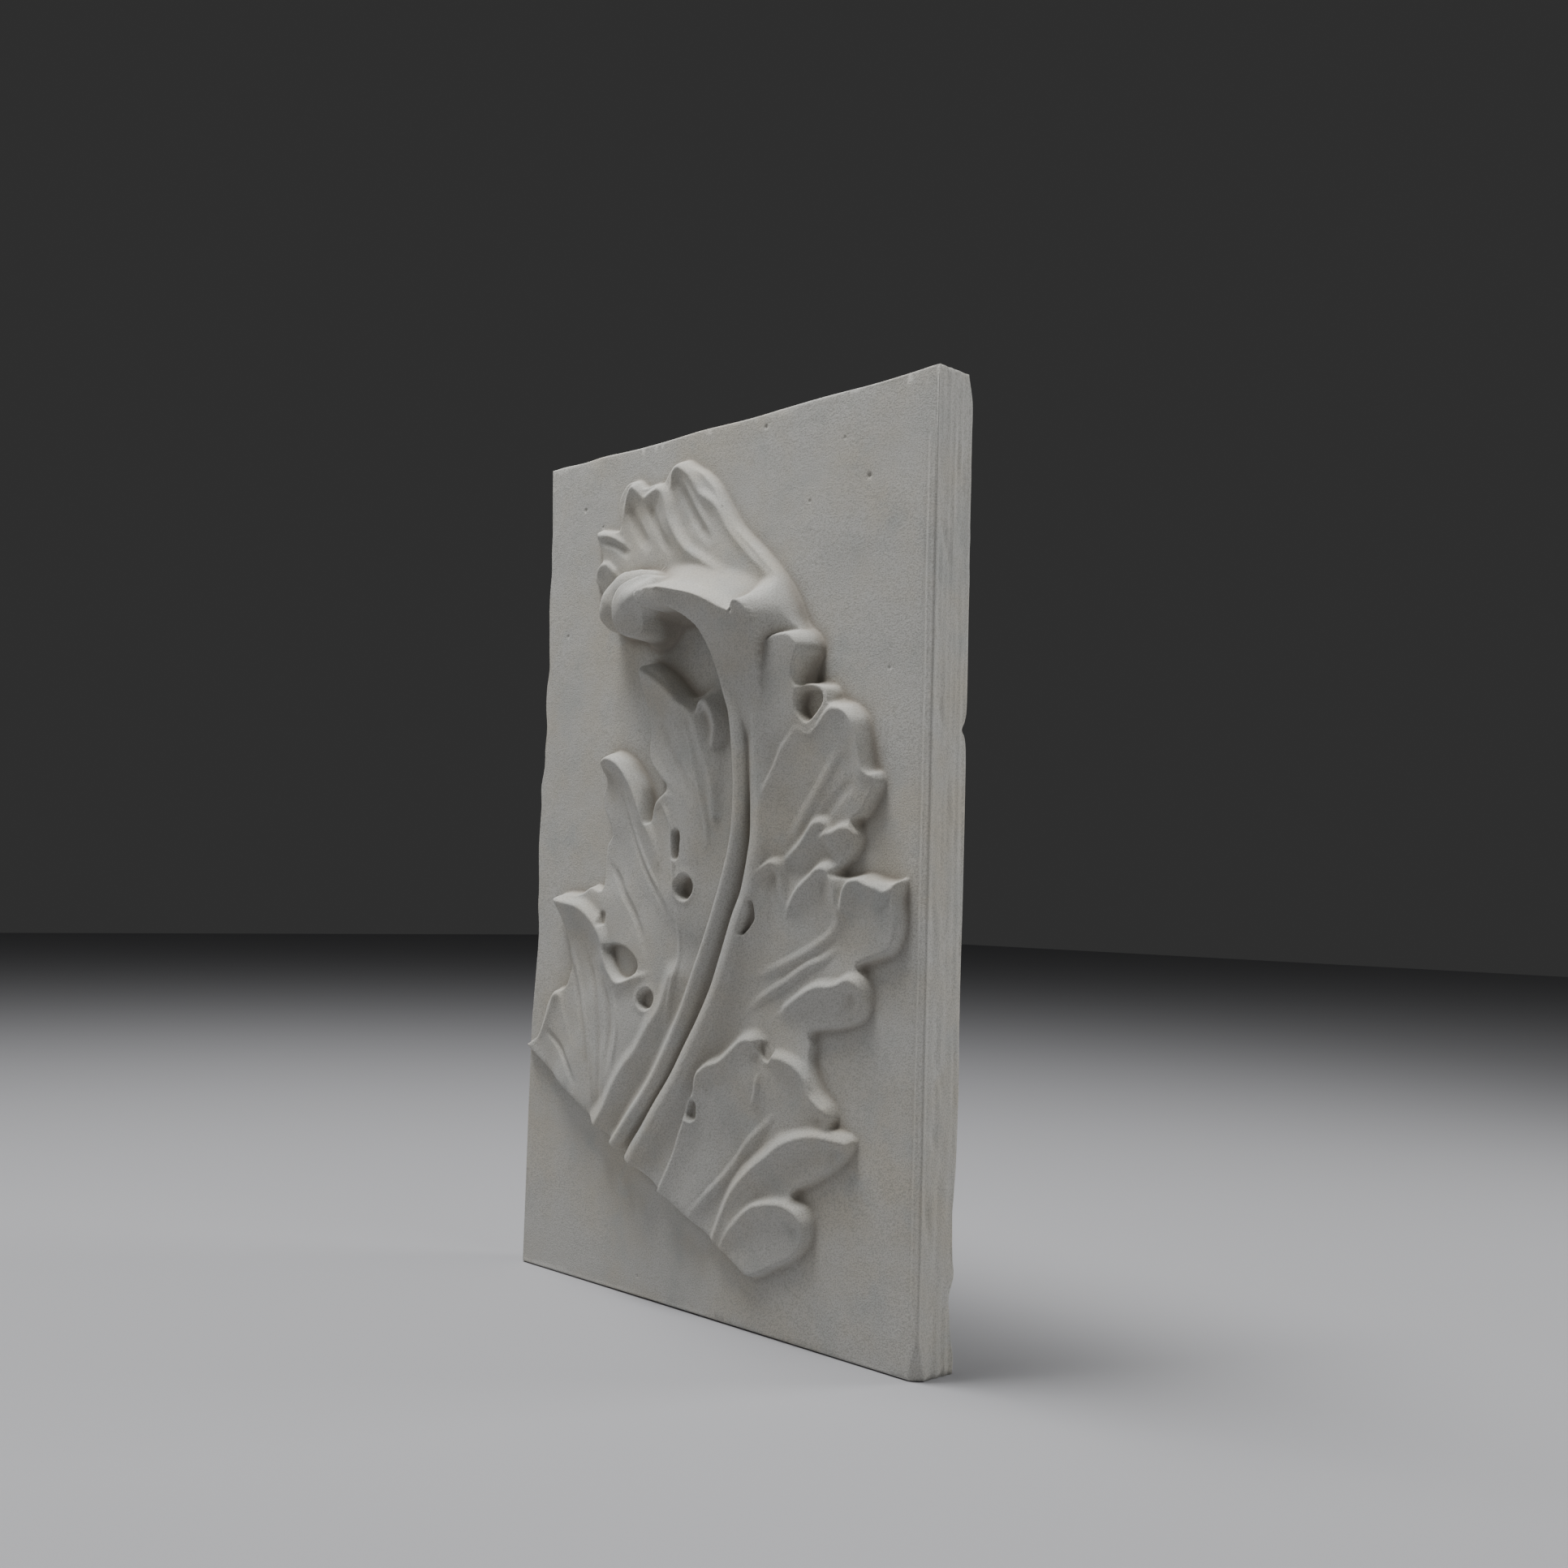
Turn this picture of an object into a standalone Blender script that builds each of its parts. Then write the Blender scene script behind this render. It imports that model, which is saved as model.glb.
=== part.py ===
"""Plaster cast wall panel: half of an acanthus leaf in relief on a rectangular slab.

The panel is one solid. Its back lies in the plane y = 0 and it faces -Y, with +Z up and the
origin at the centre of the back. The relief is one height field over the slab's face. A lobe
is a rim from which the leaf falls away on both sides, like a tile turned up at its edge. The
lobes lie over a thin swelling sheet, each part of the leaf is trimmed to its outline, and the
curl, its rolls, the stem's beads, the ribs and the drilled eyes are laid or cut on these.
"""
import math

import bmesh
import bpy
import numpy as np

# Slab
PANEL_WIDTH = 0.390
PANEL_HEIGHT = 0.600
SLAB_THICKNESS = 0.0346
ARRIS_RADIUS = 0.003
ARRIS_STEPS = 3
BACK_ARRIS = 0.0015
CORNER_LOSS = 0.006

# Leaf: its height from the cut foot to the top lobe, how far the curl stands off the face and
# the place of its middle on the slab
LEAF_HEIGHT = 0.536
RELIEF_DEPTH = 0.047
LEAF_ACROSS = 0.0
LEAF_UP = 0.0085

# The forms below are drawn in parts: PARTS_HIGH of them make the leaf's height, and the
# highest place of the relief stands RELIEF_DEPTH off the face
PARTS_HIGH = 536.0
DRAWN_MIDDLE = 8.5

# Sampling of the face, of each curve's spans, and the faces left once flat ground is thinned
GRID_STEP = 0.0016
SPAN_STEPS = 9
TARGET_TRIANGLES = 9300

# Reach of the places that shape the thin sheet and the curl; how quickly a leaflet turns down
# to its rim; roundness of the hollows between forms, of a part's foot and of a trimmed edge
SHEET_REACH = 13.0
CURL_REACH = 13.0
ROLL_REACH = 5.0
LEAFLET_TURN = 4.0
LOBE_BLEND = 0.7
LEAFLET_BLEND = 0.9
SWEEP_BLEND = 1.4
PART_BLEND = 1.5
EDGE_BLEND = 1.6
CUT_BLEND = 0.8
# How far from its path each kind of form is worked out
LOBE_WINDOW = 60
LEAFLET_WINDOW = 16
SWEEP_WINDOW = 40
TRIM_WINDOW = 6
PIT_WINDOW = 12
HOLE_WINDOW = 26
# A lobe's face runs out this far under the sheet, and over no more than this length
FACE_UNDER = 3.0
FACE_LENGTH = 18.0
# Every slope also leans a little all the way, so that far forms stay under
FACE_LEAN = 0.02
BACK_LEAN = 0.2
# A rim stands at least this high, and a back drops at least this far
LEAST_RIM = 1.0
LEAST_DROP = 0.5
# Walls: rise for one part across
FAN_WALL = 3.2
LEAF_WALL = 3.6
CURL_WALL = 20.0
CURL_FALL = 0.5
ROLL_WALL = 9.0
BEAD_WALL = 3.0
PIT_WALL = 3.0
FUNNEL_WALL = 2.4
HOLE_RIM_WIDTH = 3.0
# A bare part has no sheet of its own
BARE_DEPTH = 40.0
# Ribs and hole rims fade where the leaf is thinner than this, and towards a rib's two ends
FULL_HEIGHT = 6.0
RIB_FADE = 4.5

# Heights of the thin sheet: across, up and the height there
LEFT_SHEET = (
    (-178, -138, 5), (-150, -120, 7), (-120, -150, 9), (-100, -110, 9), (-130, -80, 7),
    (-112, -52, 8), (-80, -150, 11), (-62, -118, 11), (-75, -35, 8), (-50, -60, 9),
    (-35, -85, 9), (-92, 40, 8), (-82, 0, 6), (-55, 5, 9.5), (-30, 10, 11), (-44, 80, 9.5),
    (-45, 110, 11), (-25, 65, 12), (-12, 85, 13), (-4, 40, 13.5), (-8, 10, 14), (-2, -30, 12.5),
    (30, 60, 6), (32, 92, 4), (36, 30, 4.5), (33, 0, 4), (24, -34, 4.5), (10, -66, 5),
    (-10, -98, 5.5), (-28, -125, 5.5), (-50, -155, 5.5), (-76, -185, 5.5), (-18, -66, 8),
    (20, 30, 9), (14, 0, 9.5), (6, -36, 9), (-30, -110, 6.5), (20, 104, 2), (28, 104, 2),
    (36, 100, 2), (10, 112, 2), (14, 121, 0), (26, 118, 0), (34, 112, 0), (2, 118, 0),
    (-30, 122, 13), (-50, 132, 13))
RIGHT_SHEET = (
    (76, 50, 12), (76, 86, 14), (84, 108, 14), (80, 128, 18.5), (80, 22, 8), (72, 125, 22),
    (73, 110, 19.5), (70, 92, 18), (72, 140, 23), (66, 100, 19),
    (92, 60, 12), (94, 40, 9), (112, 76, 13), (112, 58, 10.5), (128, 82, 12.5),
    (138, 62, 8), (124, 50, 8), (104, 32, 6.5),
    (98, 10, 5), (124, 6, 4), (138, 12, 7), (88, 0, 5), (115, 12, 8), (74, 8, 8),
    (66, -30, 12), (74, -40, 10), (62, -60, 10), (92, -34, 7), (108, -28, 9),
    (114, -44, 6.5), (132, -46, 5), (155, -30, 9), (158, -50, 6), (88, -62, 7),
    (75, -88, 7.5), (104, -90, 6.5), (130, -86, 7.5), (142, -97, 4), (56, -98, 7.5),
    (84, -108, 6), (105, -104, 5), (30, -115, 7), (10, -136, 7), (30, -148, 12.5),
    (50, -138, 12), (50, -160, 8.5), (85, -140, 9), (100, -150, 6.5), (76, -164, 5),
    (15, -176, 10), (12, -196, 8), (-8, -212, 9), (34, -186, 5), (100, -186, 5), (128, -175, 4),
    (52, -212, 4), (34, -230, 4.5), (76, -226, 9), (76, -242, 4.5), (98, -230, 5),
    (54, -240, 6.5), (92, -192, 5), (110, -180, 5),
    (54, 60, 6), (54, 30, 5), (53, 8, 5), (46, -25, 6), (20, -85, 7), (-10, -130, 7),
    (-45, -178, 7), (-60, -205, 7), (44, -42, 7), (34, -72, 7), (10, -112, 7), (-20, -160, 7))
FAN_SHEET = (
    (88, 160, 6), (70, 185, 6.5), (46, 208, 7), (28, 226, 7), (10, 246, 6.5), (-8, 260, 6.5),
    (-34, 270, 6), (70, 160, 9), (45, 185, 10), (20, 200, 10.5), (-10, 215, 9),
    (-32, 238, 6), (-55, 255, 5.5), (-85, 262, 5.5), (-85, 240, 5), (-60, 222, 7.5),
    (-125, 238, 4.5), (-105, 226, 5), (-122, 208, 4), (-85, 208, 7), (76, 120, -5),
    (44, 108, -5), (30, 128, -5), (10, 140, -5), (0, 150, -5), (-25, 150, -5),
    (-50, 140, -5), (-80, 148, -5), (-104, 158, -5), (-112, 182, -3))
CURL_BODY = (
    (72, 145, 28), (72, 151, 32), (70, 157, 36), (64, 162, 40), (58, 159, 41), (53, 160, 42),
    (37, 167, 45), (23, 172, 46.5), (7, 176, 47), (-12, 180, 47), (-26, 181, 46),
    (37, 106, 20), (34, 114, 20.5), (29, 127, 22), (23, 141, 24), (18, 152, 27), (11, 159, 31),
    (2, 164, 34), (-8, 169, 38), (-20, 171, 40), (70, 137, 24), (66, 110, 20), (66, 94, 18.5),
    (50, 110, 21), (48, 130, 25), (45, 148, 33), (62, 130, 25), (58, 96, 17),
    (48, 90, 16), (64, 66, 12), (56, 66, 11), (50, 66, 12), (57, 46, 6), (57, 80, 14))

# Rolls beside the curl: fall to the rim, places of the body, outline
ROLLS = (
    (5.0, ((-60, 197, 22), (-74, 194, 25), (-90, 188, 24), (-98, 177, 23), (-94, 167, 20),
           (-84, 165, 18), (-48, 197, 19), (-76, 178, 24)),
     ((-46, 200), (-60, 203), (-75, 202), (-88, 197), (-98, 190), (-103, 181), (-103, 172),
      (-97, 165), (-88, 161), (-78, 160), (-66, 164), (-60, 178), (-48, 188), (-40, 194))),
    (1.5, ((-31, 178, 45), (-40, 176, 41.5), (-52, 173, 38), (-62, 171, 35.5),
           (-66, 165, 33.5), (-63, 159, 31), (-57, 156, 29.5), (-50, 156, 28),
           (-45, 159, 28), (-41, 164, 29), (-36, 169, 33), (-30, 173, 40), (-52, 165, 33),
           (-66, 172, 35), (-66, 180, 35), (-60, 187, 34.5), (-50, 191, 32), (-40, 192, 29),
           (-31, 192, 27), (-52, 181, 38), (-40, 183, 39.5), (-31, 184, 42), (-24, 182, 45.5),
           (-20, 188, 36)),
     ((-22, 190), (-32, 194), (-42, 195), (-52, 193), (-62, 188), (-68, 180), (-69, 171),
      (-68, 162), (-63, 156), (-57, 153.5), (-50, 153), (-44, 155), (-40, 161), (-37, 167),
      (-31, 171), (-25, 175), (-18, 182))),
    (2.0, ((106, 96, 14.5),),
     ((94, 91), (97, 84), (106, 78), (113, 82), (120, 90), (122, 98), (119, 107), (112, 110),
      (103, 111), (95, 108), (93, 100))))

# Lobes: place on the rim, its height, slope of the face on the right of the way along and of
# the back on the left
FAN_LOBES = (
    ((-97, 250, 6, 0.18, 2.5), (-94, 257, 8, 0.18, 2.2), (-89, 265, 9.5, 0.22, 2.0),
     (-84, 268, 10, 0.25, 1.8), (-79, 264, 9, 0.22, 1.6), (-73, 259, 7.5, 0.18, 1.4),
     (-66, 260, 9, 0.25, 1.3), (-56, 262, 10, 0.25, 1.2), (-49, 258, 10.5, 0.25, 1.1),
     (-44, 249, 11, 0.25, 1.0), (-40, 238, 11.5, 0.25, 0.9), (-32, 226, 12, 0.22, 0.8),
     (-20, 214, 12.5, 0.20, 0.7), (-3, 204, 13, 0.16, 0.6), (14, 195, 13, 0.14, 0.5),
     (32, 186, 12, 0.12, 0.4)),
    ((-45, 258, 6, 0.40, 2.0), (-43, 265, 8, 0.40, 2.0), (-40, 271, 10, 0.40, 2.0),
     (-33, 274, 11, 0.40, 1.8), (-23, 268, 11, 0.32, 1.2), (-16, 260, 10.5, 0.27, 0.9),
     (-10, 252, 10, 0.25, 0.8), (0, 246, 10, 0.25, 1.0), (7, 241, 10, 0.25, 1.5),
     (13, 234, 10, 0.22, 1.8), (21, 223, 10, 0.20, 2.0), (33, 211, 10, 0.18, 2.0),
     (45, 200, 10, 0.16, 1.9), (56, 191, 9.5, 0.14, 1.8), (68, 180, 9, 0.11, 1.8),
     (78, 170, 8.5, 0.09, 1.8), (84, 160, 8, 0.07, 1.8), (88, 148, 7.5, 0.05, 1.8)),
    ((-26, 262, 9, 0.09, 0.9), (-17, 250, 9.5, 0.09, 0.7), (-10, 239, 9.5, 0.09, 0.5),
     (-1, 226, 9.5, 0.09, 0.4), (8, 214, 9, 0.09, 0.3)),
    ((-128, 236, 4, 0.27, 2.0), (-126, 239, 6.5, 0.27, 2.0), (-119, 238, 7.5, 0.27, 1.6),
     (-108, 235, 7.5, 0.27, 1.2), (-96, 229, 7, 0.18, 1.0)),
    ((-128, 207, 3, 0.27, 2.0), (-126, 212, 6, 0.27, 2.0), (-120, 216, 7, 0.27, 2.0),
     (-112, 215, 7.5, 0.18, 1.6), (-104, 209, 7.5, 0.18, 1.0)))
LEFT_LOBES = (
    # far left
    ((-184, -141, 3, 0.20, 2.0), (-176, -131, 6, 0.20, 2.0), (-168, -120, 8, 0.20, 2.0),
     (-161, -107, 9, 0.20, 2.0), (-156, -99, 10, 0.20, 2.0), (-150, -99, 9, 0.20, 1.0),
     (-144, -112, 8, 0.20, 0.6), (-132, -136, 8, 0.20, 0.4)),
    # low leaf: the spike, then its edge over the round hollow
    ((-158, -29, 12, 0.39, 3.0), (-140, -31, 15, 0.44, 2.4), (-124, -34, 15, 0.44, 1.3),
     (-111, -41, 14.5, 0.39, 1.1), (-101, -50, 14, 0.34, 1.2), (-95, -59, 13.5, 0.26, 2.2),
     (-93, -70, 13, 0.21, 3.0), (-86, -80, 12.5, 0.16, 3.0), (-78, -85, 13, 0.13, 3.0),
     (-66, -82, 13, 0.10, 3.0), (-56, -79, 11, 0.10, 2.0)),
    # edge of the low leaf over the blade
    ((-104, -196, 14, 0.47, 0.3), (-98, -188, 14, 0.47, 0.3), (-87, -174, 14, 0.47, 0.3),
     (-75, -154, 14, 0.44, 0.25), (-65, -141, 13.5, 0.39, 0.2), (-55, -131, 13, 0.34, 0.2),
     (-44, -115, 12.5, 0.26, 0.2), (-31, -99, 12, 0.21, 0.2), (-22, -78, 12, 0.16, 0.2)),
    # middle leaf
    ((-106, 64, 10, 0.26, 2.5), (-104, 70, 14, 0.26, 3.5), (-96, 73, 15.5, 0.26, 4.5),
     (-85, 70, 15.5, 0.23, 9.0), (-75, 62, 15, 0.21, 11.0), (-67, 52, 14.5, 0.18, 11.0),
     (-62, 44, 14.5, 0.16, 9.0), (-55, 31, 14, 0.13, 3.0), (-45, 15, 13, 0.10, 0.5),
     (-38, -1, 12, 0.08, 0.3)),
    ((-48, 24, 8, 0.16, 2.4), (-43, 37, 12.5, 0.16, 2.4), (-37, 42, 13.5, 0.16, 2.4),
     (-29, 45, 13.5, 0.16, 2.2), (-20, 42, 12.5, 0.16, 1.6), (-12, 36, 11, 0.16, 1.2)),
    # top leaf: its lower left edge, its rim and the teardrop beside it
    ((4, 26, 7, 0.03, 2.0), (-9, 36, 12, 0.03, 2.4), (-21, 47, 13, 0.03, 2.4),
     (-34, 55, 13, 0.03, 2.4), (-47, 65, 12.5, 0.03, 2.2), (-51, 77, 11, 0.03, 1.6),
     (-51, 88, 10, 0.03, 1.0)),
    ((-61, 134, 15, 0.21, 2.0), (-57, 132, 17.5, 0.21, 1.9), (-43, 125, 17.5, 0.20, 1.9),
     (-30, 117, 17.5, 0.18, 2.0), (-19, 108, 17, 0.16, 2.2), (-9, 102, 16, 0.13, 2.2),
     (-4, 96, 15, 0.13, 0.8), (4, 76, 14, 0.07, 0.6), (14, 55, 13, 0.07, 0.6),
     (17, 30, 11, 0.07, 0.5)),
    ((-5, 90, 12, 0.16, 2.0), (0, 103, 15, 0.18, 2.2), (6, 107, 16, 0.18, 2.2),
     (13, 102, 16, 0.18, 2.2), (17, 90, 14, 0.16, 1.6), (13, 76, 11, 0.13, 1.0)))
STEM_RIMS = (
    # first bead, from the foot to the inner arc of the curl
    ((-97, -219, 14, 1.3, 0.6), (-86, -207, 14, 1.3, 0.6), (-75, -196, 14, 1.3, 0.6),
     (-56, -174, 14.5, 1.3, 0.6), (-35, -150, 15, 1.3, 0.6), (-18, -125, 15.5, 1.3, 0.6),
     (-3, -99, 16, 1.3, 0.8), (9, -74, 17, 1.3, 1.1), (20, -51, 17.5, 1.3, 1.6),
     (30, -28, 18, 1.4, 2.2), (39, -5, 19, 1.5, 2.6), (45, 18, 19.5, 1.9, 2.6),
     (47, 47, 20, 1.9, 2.6), (45, 77, 20.5, 1.6, 2.6), (41, 97, 21, 0.9, 2.0),
     (36, 109, 22, 0.6, 5.0), (29, 127, 23.5, 0.5, 6.0), (23, 141, 26, 0.5, 6.0),
     (18, 152, 29, 0.5, 6.0)),
    # second bead
    ((-68, -226, 14, 0.3, 0.7), (-58, -212, 14, 0.3, 0.7), (-49, -199, 14.5, 0.3, 0.7),
     (-38, -186, 15, 0.3, 0.7), (-25, -169, 15.5, 0.3, 0.7), (-7, -147, 16, 0.3, 0.7),
     (8, -125, 16.5, 0.3, 0.7), (22, -104, 17, 0.3, 0.7), (33, -85, 17.5, 0.3, 0.7),
     (42, -64, 18, 0.3, 0.7), (52, -38, 18, 0.35, 0.8), (60, -21, 18, 0.45, 1.0),
     (66, 3, 18, 0.5, 1.2), (67, 18, 18, 0.5, 1.2), (65, 44, 18, 0.5, 1.2),
     (62, 70, 18, 0.5, 1.0), (60, 96, 18.5, 0.4, 0.7), (59, 112, 19, 0.4, 0.7)),
    # third bead, the left edge of the fourth lobe
    ((-29, -226, 13, 0.10, 1.6), (-25, -219, 13, 0.10, 1.6), (-13, -198, 13, 0.10, 1.6),
     (-7, -184, 13.5, 0.10, 1.6), (0, -170, 14, 0.10, 1.6), (8, -154, 14.5, 0.10, 1.6),
     (11, -144, 15.5, 0.12, 1.6), (13, -139, 15.5, 0.12, 1.4)))
RIGHT_LOBES = (
    # beside the curl
    ((66, 128, 19, 0.31, 1.0), (68, 137, 20, 0.31, 2.2), (76, 143, 20, 0.31, 2.2),
     (81, 146, 19.5, 0.31, 2.0), (91, 146, 18.5, 0.31, 1.6), (97, 143, 17.5, 0.31, 1.4),
     (99, 137, 16.5, 0.26, 1.8), (99, 131, 16, 0.21, 2.0), (98, 122, 15, 0.16, 2.6),
     (96, 111, 14, 0.13, 2.6)),
    # second lobe, its lobelet and the tongue under them
    ((67, 8, 16, 0.31, 0.8), (67, 20, 16.5, 0.31, 0.9), (66, 34, 16.5, 0.31, 1.2),
     (69, 45, 16.5, 0.31, 1.6), (73, 53, 16, 0.31, 2.0), (78, 62, 15.5, 0.31, 2.0),
     (83, 71, 15.5, 0.31, 2.0), (90, 78, 15, 0.31, 2.0), (96, 84, 14.5, 0.31, 2.0),
     (106, 80, 14, 0.36, 2.0), (115, 86, 14.5, 0.36, 2.0), (123, 94, 15, 0.36, 1.8),
     (132, 95, 15, 0.36, 1.3), (139, 92, 14.5, 0.36, 1.2), (145, 82, 13.5, 0.31, 1.5),
     (148, 72, 12.5, 0.26, 2.4), (149, 62, 11.5, 0.21, 2.4), (150, 56, 11, 0.21, 2.0),
     (156, 55, 10.5, 0.26, 2.0), (162, 51, 9.5, 0.26, 2.6), (162, 45, 8, 0.26, 2.6)),
    ((76, -4, 8, 0.26, 0.6), (86, 2, 10, 0.26, 0.8), (97, 9, 12, 0.31, 1.1),
     (104, 16, 13, 0.36, 1.4), (109, 23, 13, 0.36, 1.6), (116, 25, 12, 0.36, 1.6),
     (121, 21, 10, 0.31, 1.4)),
    ((112, 14, 9, 0.36, 1.4), (118, 17, 11.5, 0.36, 1.6), (125, 18, 12, 0.36, 1.6),
     (133, 21, 11.5, 0.36, 1.6), (140, 20, 10, 0.36, 1.8), (143, 14, 7, 0.36, 2.2)),
    # third lobe in three waves and the fold under it
    ((48, -52, 17, 0.31, 1.0), (56, -36, 17.5, 0.31, 1.2), (61, -23, 17.5, 0.31, 1.4),
     (63, -14, 17.5, 0.34, 1.6), (65, -9, 17.5, 0.36, 1.6), (70, -4, 17, 0.36, 1.6),
     (76, -1, 16, 0.36, 1.8), (81, -2, 15, 0.36, 1.8), (83, -9, 13, 0.31, 1.6),
     (84, -18, 11.5, 0.26, 1.2), (87, -32, 9, 0.21, 0.8)),
    ((86, -36, 9, 0.26, 0.8), (90, -27, 11, 0.31, 1.2), (97, -18, 12.5, 0.31, 1.4),
     (108, -10, 13.5, 0.36, 1.6), (115, -5, 14, 0.36, 1.8), (121, -4, 13.5, 0.36, 1.8),
     (125, -7, 13, 0.31, 2.0), (128, -14, 12, 0.26, 2.0), (130, -24, 11, 0.21, 1.8),
     (132, -36, 9, 0.16, 1.2)),
    ((132, -34, 8, 0.26, 1.2), (134, -26, 11, 0.31, 1.8), (137, -18, 13, 0.31, 2.0),
     (142, -12, 14, 0.31, 2.2), (150, -10, 14, 0.31, 2.4), (157, -13, 13.5, 0.31, 2.4),
     (165, -15, 13, 0.31, 2.4), (171, -17, 12.5, 0.31, 2.4), (178, -13, 9, 0.31, 3.0),
     (176, -24, 10, 0.31, 3.0), (177, -33, 9, 0.31, 3.0), (173, -46, 7, 0.31, 3.0)),
    ((86, -92, 9, 0.26, 0.8), (104, -82, 11.5, 0.31, 1.2), (116, -77, 12.5, 0.36, 1.6),
     (127, -76, 12.5, 0.36, 1.8), (134, -74, 12, 0.36, 1.8), (141, -71, 12, 0.36, 1.8),
     (148, -73, 11, 0.36, 2.0), (151, -80, 9, 0.31, 2.4), (148, -90, 7, 0.31, 2.4)),
    # fourth lobe
    ((9, -148, 14.5, 0.26, 1.6), (13, -140, 16, 0.31, 1.8), (22, -134, 16.5, 0.34, 1.3),
     (34, -130, 16.5, 0.36, 1.2), (46, -121, 16, 0.36, 1.2), (54, -115, 15.5, 0.36, 1.2),
     (62, -114, 15, 0.36, 1.2), (68, -117, 12, 0.36, 1.2), (74, -124, 11, 0.36, 1.2),
     (80, -123, 12.5, 0.36, 1.4), (91, -124, 12.5, 0.36, 1.6), (101, -128, 12, 0.36, 1.8),
     (108, -135, 11, 0.36, 2.0), (111, -143, 10, 0.31, 2.0), (118, -149, 10, 0.31, 1.6),
     (125, -153, 9, 0.31, 2.0), (123, -161, 7, 0.26, 2.0)),
    # fifth lobe
    ((24, -246, 8, 0.42, 0.7), (36, -224, 10, 0.47, 0.8), (47, -209, 11.5, 0.52, 0.8),
     (63, -195, 12.5, 0.57, 0.8), (77, -185, 12.5, 0.57, 0.8), (88, -177, 12.5, 0.57, 0.9),
     (102, -171, 12, 0.57, 1.3), (115, -168, 11, 0.52, 1.6), (129, -168, 10, 0.42, 1.8),
     (141, -170, 8, 0.31, 2.4), (136, -178, 6, 0.31, 2.4)),
    # lowest lobe
    ((30, -250, 7, 0.26, 0.8), (45, -233, 10, 0.31, 1.0), (59, -221, 11.5, 0.31, 1.4),
     (70, -216, 12, 0.31, 1.6), (85, -213, 12, 0.31, 1.8), (96, -214, 11.5, 0.31, 1.8),
     (104, -219, 10, 0.31, 2.0), (107, -228, 8, 0.31, 2.0), (103, -238, 6, 0.31, 2.4)))

# Crest of the curl, the height its back comes down to, and its face
CURL_CREST = (
    (-38, 177.5, 42, 14.0, 2.8), (-30, 180.5, 45.5, 14.0, 2.8), (-12, 180, 47, 14.0, 2.8),
    (7, 176, 47, 14.0, 2.8), (23, 172, 46.5, 14.0, 2.8), (37, 167, 45, 14.0, 2.8),
    (47, 162, 43, 14.0, 2.8), (53, 159, 42, 14.0, 2.8), (57, 157.5, 41, 14.0, 2.8),
    (60, 163, 42, 14.0, 2.8), (64, 163, 41, 14.0, 2.6), (67, 160, 39, 14.0, 2.3),
    (69.5, 156, 36, 14.0, 2.0), (71, 151, 32, 14.0, 1.7), (70.5, 145, 28, 14.0, 1.4),
    (68.5, 137, 24, 14.0, 1.0), (67, 128, 21.5, 14.0, 0.6), (65.5, 118, 20, 14.0, 0.4),
    (65, 106, 18.5, 14.0, 0.3))
CREST_BASE = 4.0
CREST_BLEND = 1.6
CURL_FACE = (
    (46, 40), (47, 70), (42, 97), (37, 108), (30, 127), (24, 141), (19, 152), (12, 159),
    (3, 164.5), (-8, 169), (-20, 170.5), (-30, 171), (-31, 180), (-12, 181), (7, 177),
    (23, 173), (37, 168), (47, 163), (55, 159.5), (58, 158.5), (60, 165), (64.5, 165), (68.5, 162),
    (71.5, 157.5), (73, 151), (73, 145), (71, 137), (69.5, 124), (68.5, 108), (68, 94), (66, 60),
    (64, 40))

# Rounded beads on the first two rims of the stem: how far aside of the rim and half width;
# then the fall to their sides, how far they stand off the rim and how fast they sink into it
BEADS = ((1.5, 5.2), (-2.5, 6.8))
BEAD_FALL = 3.0
BEAD_RISE = 0.4
BEAD_SINKS = 0.8
BEAD_SINK_ROWS = 6

# Outlines the parts are trimmed to
FAN_OUTLINE = (
    (-131, 239), (-126, 243), (-103, 240), (-105, 253), (-103, 264), (-94, 273), (-83, 273),
    (-74, 267), (-64, 268), (-54, 267), (-49, 272), (-42, 278), (-31, 279), (-20, 273),
    (-8, 266), (2, 257), (10, 247), (18, 236), (29, 223), (50, 205), (64, 192), (74, 181),
    (83, 168), (90, 154), (96, 144), (92, 130), (76, 116),
    (44, 104), (16, 112), (-14, 124), (-45, 130), (-80, 134), (-108, 148), (-118, 172),
    (-124, 196), (-131, 205), (-128, 214), (-122, 220), (-127, 231))
LEFT_OUTLINE = (
    (-64, 138), (-52, 138), (-36, 130), (-22, 119), (-12, 112), (-2, 116), (10, 124),
    (22, 126), (36, 118), (48, 90), (60, 0), (30, -100), (-30, -200), (-60, -240),
    (-120, -215), (-196, -150), (-180, -131), (-172, -117), (-166, -104), (-158, -95),
    (-148, -93), (-142, -86), (-140, -72), (-145, -56), (-153, -42), (-161, -28),
    (-150, -24), (-134, -24), (-126, -22), (-117, -18), (-106, -20), (-104, -10),
    (-104, 2), (-102, 12), (-97, 18), (-100, 26), (-106, 36), (-108, 47), (-104, 56),
    (-108, 63), (-110, 72), (-98, 78), (-82, 73), (-70, 63), (-61, 53), (-57, 44),
    (-53, 32), (-51, 28), (-48, 36), (-42, 44), (-34, 49), (-37, 52), (-46, 60),
    (-53, 68), (-55, 78),
    (-54, 88), (-56, 100), (-60, 112), (-64, 126))
STEM_OUTLINE = (
    (-112, -214), (-90, -186), (-68, -164), (-48, -140), (-31, -114), (-17, -90), (-5, -66),
    (6, -44), (16, -22), (25, 0), (31, 20), (34, 47), (32, 76), (28, 94), (23, 104),
    (24, 116), (18, 130), (12, 146), (40, 160), (76, 130), (90, 100), (100, 60), (102, 20),
    (102, -14), (94, -44), (82, -84), (68, -120), (58, -142), (46, -180), (30, -215),
    (14, -250), (-60, -260), (-110, -235))
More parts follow.
